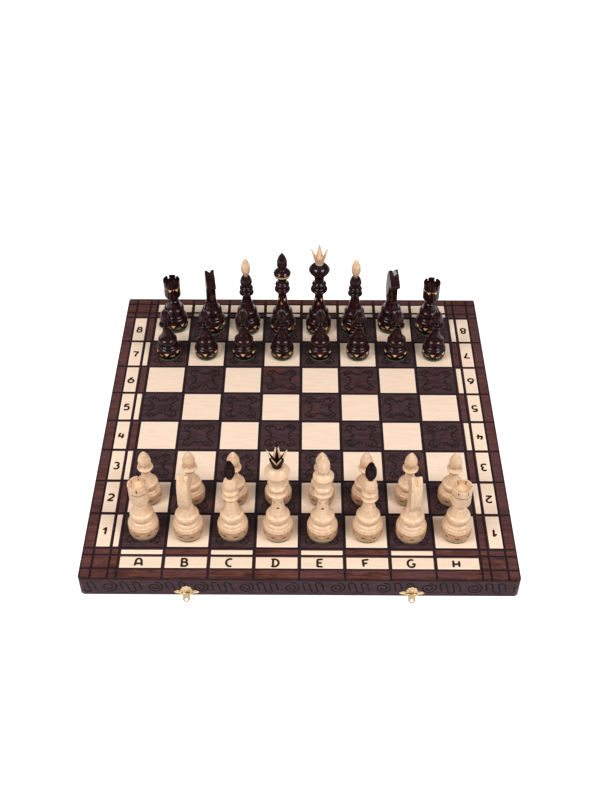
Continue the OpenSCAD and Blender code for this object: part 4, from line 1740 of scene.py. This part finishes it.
class Engraver(PieceTree):
    """A Geometry Nodes tree that draws strokes along the edges of a flat mesh."""

    sides: int = 8
    step_share: float = 0.4
    thinnest_end: float = 0.12
    shake_scale: float = 90.0

    def __init__(self) -> None:
        """Builds the tree."""
        super().__init__("drawn_strokes", {
            "Strokes": "Geometry", "Stroke Width": "Float", "Relief": "Float", "Unevenness": "Float",
            "Finish": "Material",
        }, "Drawn")

    def wire(self, graph: Graph) -> None:
        """Adds the tree's nodes: a rounded tube along each stroke, thin at its ends and pressed flat.

        Args:
            graph: The tree that the nodes go into.
        """
        given = graph.add("NodeGroupInput").outputs
        width = given["Stroke Width"]
        half = graph.math("MULTIPLY", width, 0.5)
        lines = graph.add("GeometryNodeMeshToCurve", {"Mesh": given["Strokes"]})
        inputs = {"Curve": lines.outputs[0], "Length": graph.math("MULTIPLY", width, self.step_share)}
        even = graph.add("GeometryNodeResampleCurve", inputs, mode="LENGTH")
        along = graph.add("GeometryNodeSplineParameter").outputs["Length"]
        whole = graph.add("GeometryNodeSplineLength").outputs["Length"]
        to_end = graph.math("MINIMUM", along, graph.math("SUBTRACT", whole, along))
        share = graph.math("DIVIDE", to_end, half, clamp=True)
        rounded = graph.math("SQRT", graph.math("MULTIPLY", share, graph.math("SUBTRACT", 2.0, share)))
        tip = graph.add("GeometryNodeCurvePrimitiveCircle", {"Resolution": self.sides, "Radius": half})
        tube = graph.add("GeometryNodeCurveToMesh", {
            "Curve": self._shaken(graph, even.outputs[0], given["Unevenness"]),
            "Profile Curve": tip.outputs[0], "Scale": graph.math("MAXIMUM", rounded, self.thinnest_end),
            "Fill Caps": True,
        })
        flat = graph.joined(1.0, 1.0, graph.math("DIVIDE", given["Relief"], half))
        pressed = graph.add("GeometryNodeTransform", {"Geometry": tube.outputs[0], "Scale": flat})
        graph.send(pressed.outputs[0], given["Finish"], "Drawn")

    def _shaken(self, graph: Graph, curve: Socket, uneven: Socket) -> Socket:
        """The curves moved a little within their plane, as a hand moves.

        Args:
            graph: The tree that the nodes go into.
            curve: The curves.
            uneven: The greatest movement.

        Returns:
            The moved curves' socket.
        """
        place = graph.add("GeometryNodeInputPosition").outputs[0]
        noise = graph.add("ShaderNodeTexNoise", {"Vector": place, "Scale": self.shake_scale, "Detail": 1.0})
        offs = [
            graph.math("MULTIPLY", graph.math("MULTIPLY", graph.math("SUBTRACT", part, 0.5), 2.0), uneven)
            for part in graph.split(noise.outputs["Color"])[:2]
        ]
        moved = graph.add("GeometryNodeSetPosition", {"Geometry": curve, "Offset": graph.joined(*offs, 0.0)})
        return moved.outputs[0]

    def draw(self, name: str, strokes: Iterable[Sequence[Place]], pen: Pen) -> bpy.types.Object:
        """Draws strokes on the plane through the origin.

        Args:
            name: The piece's name.
            strokes: Places along each stroke, in millimetres.
            pen: The strokes' finish and size.

        Returns:
            The strokes as one plain mesh.
        """
        vertices: list[tuple[float, float, float]] = []
        edges: list[tuple[int, int]] = []
        for stroke in strokes:
            first = len(vertices)
            vertices.extend((x * MM, y * MM, 0.0) for x, y in stroke)
            edges.extend((first + i, first + i + 1) for i in range(len(stroke) - 1))
        return self.run(mesh_object(name, vertices, [], edges), {
            "Stroke Width": pen.width * MM, "Relief": pen.relief * MM, "Unevenness": pen.uneven * MM,
            "Finish": pen.finish.material(),
        }, DRAWN_GAP)


def lay(piece: bpy.types.Object, onto: Matrix, half: Half) -> None:
    """Moves a drawn piece from the plane onto the board and hands it to a half of the case.

    Args:
        piece: The drawn piece.
        onto: The place and turn of the surface that it lies on.
        half: The half that it belongs to.
    """
    piece.data.transform(onto)
    smooth(piece)
    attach(piece, half.body)
    LOG.info("drew %s with %d faces", piece.name, len(piece.data.polygons))


ONTO_TOP = Matrix.Translation((0, 0, PLAN.top_z * MM))


@dataclass(frozen=True)
class Coordinates:
    """The burnt letters and numbers in the light cells along all four sides, in millimetres."""

    size: float = 9.0
    aside: float = 1.8
    ring: float = 193.3
    pen: Pen = Pen(BURNT, 2.35, 0.12)

    def build(self, half: Half, engraver: Engraver) -> None:
        """Burns one half's signs: its row of letters, and four numbers on each side.

        Args:
            half: The half of the case.
            engraver: The tree that draws the strokes.
        """
        strokes: list[list[Place]] = []
        for i, letter in enumerate(FILES):
            middle = (PLAN.middle(i) - self.aside, half.value * self.ring)
            strokes.extend(self._sign(letter, middle, half is Half.BACK))
        for rank in half.ranks:
            for side in (-1, 1):
                middle = (side * self.ring, PLAN.middle(rank) - self.aside / 2)
                strokes.extend(self._sign(str(rank + 1), middle, side == 1))
        lay(engraver.draw(f"{half.label}_coordinates", strokes, self.pen), ONTO_TOP, half)

    def _sign(self, sign: str, middle: Place, turned: bool) -> list[list[Place]]:
        """One sign's strokes round its middle.

        Args:
            sign: The letter or number.
            middle: The sign's middle.
            turned: Whether it stands upside down, for the player behind the board.

        Returns:
            The places along each stroke.
        """
        size = -self.size if turned else self.size
        return [
            [(middle[0] + x * size, middle[1] + (y - 0.5) * size) for x, y in line_of(part)]
            for part in SIGNS[sign]
        ]


@dataclass(frozen=True)
class Scrolls:
    """The carving of the dark squares, the same in each quarter of a square, in millimetres."""

    quarter: tuple[Stroke, ...] = (
        (Bow(11.4, 11.4, 4.8, 4.8, -112, 170), Bow(8.7, 11.8, 2.1, 1.9, 160, 20)),
        (Bow(12.4, 12.0, 1.9, 1.9, 20, 290),),
        (Bow(2.4, 12.4, 2.4, 3.4, 180, 350), (5.4, 13.6)),
        (Bow(12.4, 2.4, 3.4, 2.4, 270, 100), (13.6, 5.4)),
    )
    pen: Pen = Pen(CARVED, 1.45, 0.15, 0.55)

    def build(self, half: Half, engraver: Engraver) -> None:
        """Carves the dark squares of one half.

        Args:
            half: The half of the case.
            engraver: The tree that draws the strokes.
        """
        strokes: list[list[Place]] = []
        for rank in half.ranks:
            for file in range(rank % 2, PLAN.squares, 2):
                strokes.extend(self._square(PLAN.middle(file), PLAN.middle(rank)))
        lay(engraver.draw(f"{half.label}_scrolls", strokes, self.pen), ONTO_TOP, half)

    def _square(self, x: float, y: float) -> list[list[Place]]:
        """One square's strokes.

        Args:
            x: The square's middle along X.
            y: The square's middle along Y.

        Returns:
            The places along each stroke.
        """
        return [
            [(x + right * along, y + away * up) for along, up in line_of(stroke)]
            for right in (-1, 1) for away in (-1, 1) for stroke in self.quarter
        ]


@dataclass(frozen=True)
class Frieze:
    """The carved band on the rails' outer faces: a spiral left of each line and a serpentine beside it."""

    spiral_off: float = 7.3
    spiral_r: float = 8.2
    spiral_eye: float = 1.4
    coil_step: float = 3.65
    first_stroke: float = 12.0
    loop_r: float = 3.05
    loops: int = 3
    straight: float = 4.9
    slant: float = 0.22
    middle_z: float = 13.4
    corner: float = 4.0
    fold: float = 2.5
    repeats: int = 6
    spiral_places: int = 90
    stroke_places: int = 8
    least_places: int = 4
    pen: Pen = Pen(CARVED_FACE, 1.6, 0.14, 0.35)
    side_pen: Pen = Pen(CARVED_FACE, 1.6, 0.03, 0.35)

    def build(self, half: Half, engraver: Engraver) -> None:
        """Carves the three outer faces of one half.

        Args:
            half: The half of the case.
            engraver: The tree that draws the strokes.
        """
        end = PLAN.half_side - self.corner
        near, far = (-end, -self.fold), (self.fold, end)
        right, left = (near, far) if half is Half.FRONT else (far, near)
        outer_turn = 0 if half is Half.FRONT else 180
        for name, turn, (low, high), pen in (
            ("outer", outer_turn, (-end, end), self.pen),
            ("right", 90, right, self.side_pen),
            ("left", 270, left, self.side_pen),
        ):
            piece = engraver.draw(f"{half.label}_{name}_frieze", self._band(low, high), pen)
            lay(piece, self._face(turn), half)

    @staticmethod
    def _face(turn: float) -> Matrix:
        """The place of an outer face.

        Args:
            turn: Its turn round the board from the front face, in degrees.

        Returns:
            The matrix that moves a drawing onto it.
        """
        stand = Matrix.Rotation(math.radians(90), 4, "X")
        forward = Matrix.Translation((0, -PLAN.half_side * MM, 0))
        return Matrix.Rotation(math.radians(turn), 4, "Z") @ forward @ stand

    def _band(self, low: float, high: float) -> list[list[Place]]:
        """The strokes between two places along a face, cut off at both.

        Args:
            low: The first place.
            high: The last place.

        Returns:
            The places along each stroke.
        """
        found: list[list[Place]] = []
        for i in range(-self.repeats, self.repeats + 1):
            middle = i * PLAN.pitch - self.spiral_off
            for stroke in (self._spiral(), self._serpentine()):
                run: list[Place] = []
                for x, y in stroke:
                    if low < x + middle < high:
                        run.append((x + middle, y + self.middle_z))
                    else:
                        found.append(run)
                        run = []
                found.append(run)
        return [run for run in found if len(run) >= self.least_places]

    def _spiral(self) -> list[Place]:
        """Winds the spiral.

        Returns:
            The places along it, from its eye outwards.
        """
        first, last = (math.tau * r / self.coil_step for r in (self.spiral_eye, self.spiral_r))
        angles = np.linspace(first, last, self.spiral_places)
        reach = angles * self.coil_step / math.tau
        return list(zip(reach * np.cos(angles), reach * np.sin(angles)))

    def _serpentine(self) -> list[Place]:
        """Joins slanted strokes by loops at top and bottom in turn.

        Returns:
            The places along them.
        """
        r, places = self.loop_r, []
        for i in range(self.loops + 1):
            x, way = self.first_stroke + 2 * r * i, 1 if i % 2 == 0 else -1
            ups = np.linspace(-self.straight, self.straight, self.stroke_places)
            places.extend((x, way * up) for up in ups)
            if i < self.loops:
                bow = Bow(x + r, way * self.straight, r, way * r, 180, 0)
                places.extend(bow.places()[1:-1])
        return [(x - y * self.slant, y) for x, y in places]


@dataclass(frozen=True)
class Camera:
    """The viewing position, in metres and degrees, and the lens in millimetres."""

    place: tuple[float, float, float] = (0.0049, -0.8453, 0.8792)
    tilt: float = 45.87
    roll: float = 0.0
    heading: float = 0.37
    lens: float = 49.31
    sensor: float = 36.0
    nearest: float = 0.01
    farthest: float = 50.0

    def build(self) -> None:
        """Makes the camera and gives it to the scene."""
        data = bpy.data.cameras.new("camera")
        data.sensor_fit = "VERTICAL"
        data.sensor_height = self.sensor
        data.lens = self.lens
        data.clip_start, data.clip_end = self.nearest, self.farthest
        camera = bpy.data.objects.new("camera", data)
        bpy.context.scene.collection.objects.link(camera)
        camera.location = self.place
        camera.rotation_euler = [math.radians(a) for a in (self.tilt, self.roll, self.heading)]
        bpy.context.scene.camera = camera


@dataclass(frozen=True)
class SoftBox:
    """A rectangular studio lamp that faces the board, in metres, degrees and watts."""

    name: str
    azimuth: float
    elevation: float = 49.0
    distance: float = 2.2
    width: float = 0.95
    height: float = 0.65
    power: float = 25.4

    def build(self) -> None:
        """Hangs the lamp and turns it to the board's centre."""
        data = bpy.data.lights.new(self.name, "AREA")
        data.shape = "RECTANGLE"
        data.size, data.size_y = self.width, self.height
        data.energy = self.power
        lamp = bpy.data.objects.new(self.name, data)
        bpy.context.scene.collection.objects.link(lamp)
        turn, lift = math.radians(self.azimuth), math.radians(self.elevation)
        away = Vector((math.sin(turn) * math.cos(lift), -math.cos(turn) * math.cos(lift), math.sin(lift)))
        lamp.location = away * self.distance
        lamp.rotation_euler = away.to_track_quat("Z", "Y").to_euler()


@dataclass(frozen=True)
class FloorFinish(Finish):
    """Plain white studio floor, which the camera and mirrors see as white."""

    name: str = "studio_floor_finish"
    colour: Colour = (0.8, 0.8, 0.8)
    roughness: float = 0.9
    seen: float = 0.75
    mirrored: float = 0.35

    def look(self, graph: Graph) -> Inputs:
        """Makes the floor white where it is seen and plain where it only lights the set.

        Args:
            graph: The material's tree.

        Returns:
            What the shader's inputs take.
        """
        paths = graph.add("ShaderNodeLightPath").outputs
        mirror = graph.math("ADD", paths["Is Glossy Ray"], paths["Is Transmission Ray"], clamp=True)
        seen = graph.math("MULTIPLY", paths["Is Camera Ray"], self.seen)
        return {
            "Base Color": (*self.colour, 1.0),
            "Roughness": self.roughness,
            "Emission Color": (1.0, 1.0, 1.0, 1.0),
            "Emission Strength": graph.math("ADD", seen, graph.math("MULTIPLY", mirror, self.mirrored)),
        }


@dataclass(frozen=True)
class Studio:
    """The floor, the lamps and the light all round."""

    floor_side: float = 30.0
    lamps: tuple[SoftBox, ...] = (SoftBox("soft_box_left", -56.0), SoftBox("soft_box_right", 56.0))
    sky: float = 0.37
    mirrored_sky: float = 0.15

    def build(self) -> None:
        """Sets up the floor, the lamps, the world and the view transform."""
        half = self.floor_side / 2
        corners = [(-half, -half, 0), (half, -half, 0), (half, half, 0), (-half, half, 0)]
        floor = mesh_object("studio_floor", corners, [[0, 1, 2, 3]])
        floor.data.materials.append(FloorFinish().material())
        for lamp in self.lamps:
            lamp.build()
        world = bpy.data.worlds.new("studio_light")
        bpy.context.scene.world = world
        world.use_nodes = True
        graph = Graph(world.node_tree)
        paths = graph.add("ShaderNodeLightPath").outputs
        strength = graph.ramp(paths["Is Glossy Ray"], Ramp(0.0, 1.0, self.sky, self.mirrored_sky))
        graph.fill(world.node_tree.nodes["Background"], {
            "Color": (1.0, 1.0, 1.0, 1.0),
            "Strength": graph.math("MAXIMUM", strength, paths["Is Camera Ray"]),
        })
        bpy.context.scene.view_settings.view_transform = "Standard"


def men(nodes: Iterable[str]) -> list[Man]:
    """The men named in the frame.

    Args:
        nodes: All node names.

    Returns:
        The men in the names' order, without the pieces let into their tops.
    """
    chance = np.random.default_rng(PHASE_SEED)
    found = []
    for name in sorted(nodes):
        words = name.split("_")
        if words[0] in (side.value for side in Side) and len(words) == 3:
            phase = float(chance.uniform(-GREATEST_PHASE, GREATEST_PHASE))
            found.append(Man(name, Side(words[0]), Kind(words[1]), phase))
    return found


@dataclass(frozen=True)
class KeptNodes:
    """The board, the brass and the men's let-in tops, which stay as the CAD has them, in millimetres."""

    edge: float = 0.18
    edge_steps: int = 2
    edge_crease: float = 40.0
    sawn_across: float = 0.8
    brass_words: tuple[str, ...] = ("hinge", "latch", "hasp", "catch", "nails")

    def dress(self, piece: bpy.types.Object) -> None:
        """Gives a node its finish and slightly rounded edges.

        Args:
            piece: The node's object.
        """
        piece.data.materials.clear()
        piece.data.materials.append(self._finish(piece.name).material())
        if piece.name.startswith("white") and piece.name.endswith("_crown"):
            self._bare_sawn_faces(piece)
        weld = piece.modifiers.new("weld", "WELD")
        weld.merge_threshold = WELD_GAP
        bevel = edge_rounding(piece, self.edge, self.edge_steps, self.edge_crease)
        bevel.harden_normals = True
        LOG.info("dressed %s", piece.name)

    def _finish(self, name: str) -> Finish:
        """Chooses a node's finish.

        Args:
            name: The node's name.

        Returns:
            The finish.
        """
        if "inlay" in name:
            return BIRCH
        if "lining" in name:
            return FELT
        if any(word in name for word in self.brass_words):
            return BRASS
        if name.endswith(("_crown", "_finial")):
            dark = DARK_TOP if name.endswith("_crown") else DARK_FINIAL
            return dark if name.startswith("white") else LIGHT_MAN
        return STAINED

    def _bare_sawn_faces(self, crown: bpy.types.Object) -> None:
        """Gives the faces of a dark crown that look round its axis the bare finish.

        Args:
            crown: The crown's object.
        """
        low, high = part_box(crown.name)
        axis = (low + high) / 2
        crown.data.materials.append(BARE_CUT.material())
        for face in crown.data.polygons:
            out = (face.center - axis).to_2d()
            if out.length > 0:
                round_axis = Vector((-out.y, out.x)).normalized()
                face.material_index = int(abs(face.normal.to_2d().dot(round_axis)) > self.sawn_across)


def main() -> None:
    """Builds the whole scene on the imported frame."""
    logging.basicConfig(level=logging.INFO, format="%(message)s")
    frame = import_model()
    Camera().build()
    Studio().build()
    lathe, engraver = Lathe(), Engraver()
    crew = men(frame["nodes"])
    for man in crew:
        man.build(lathe)
        LOG.info("made %s", man.node)
    for half in Half:
        for drawing in (Coordinates(), Scrolls(), Frieze()):
            drawing.build(half, engraver)
    taken = {man.node for man in crew}
    for name, piece in frame["nodes"].items():
        if name not in taken:
            KeptNodes().dress(piece)


if __name__ == "__main__":
    main()
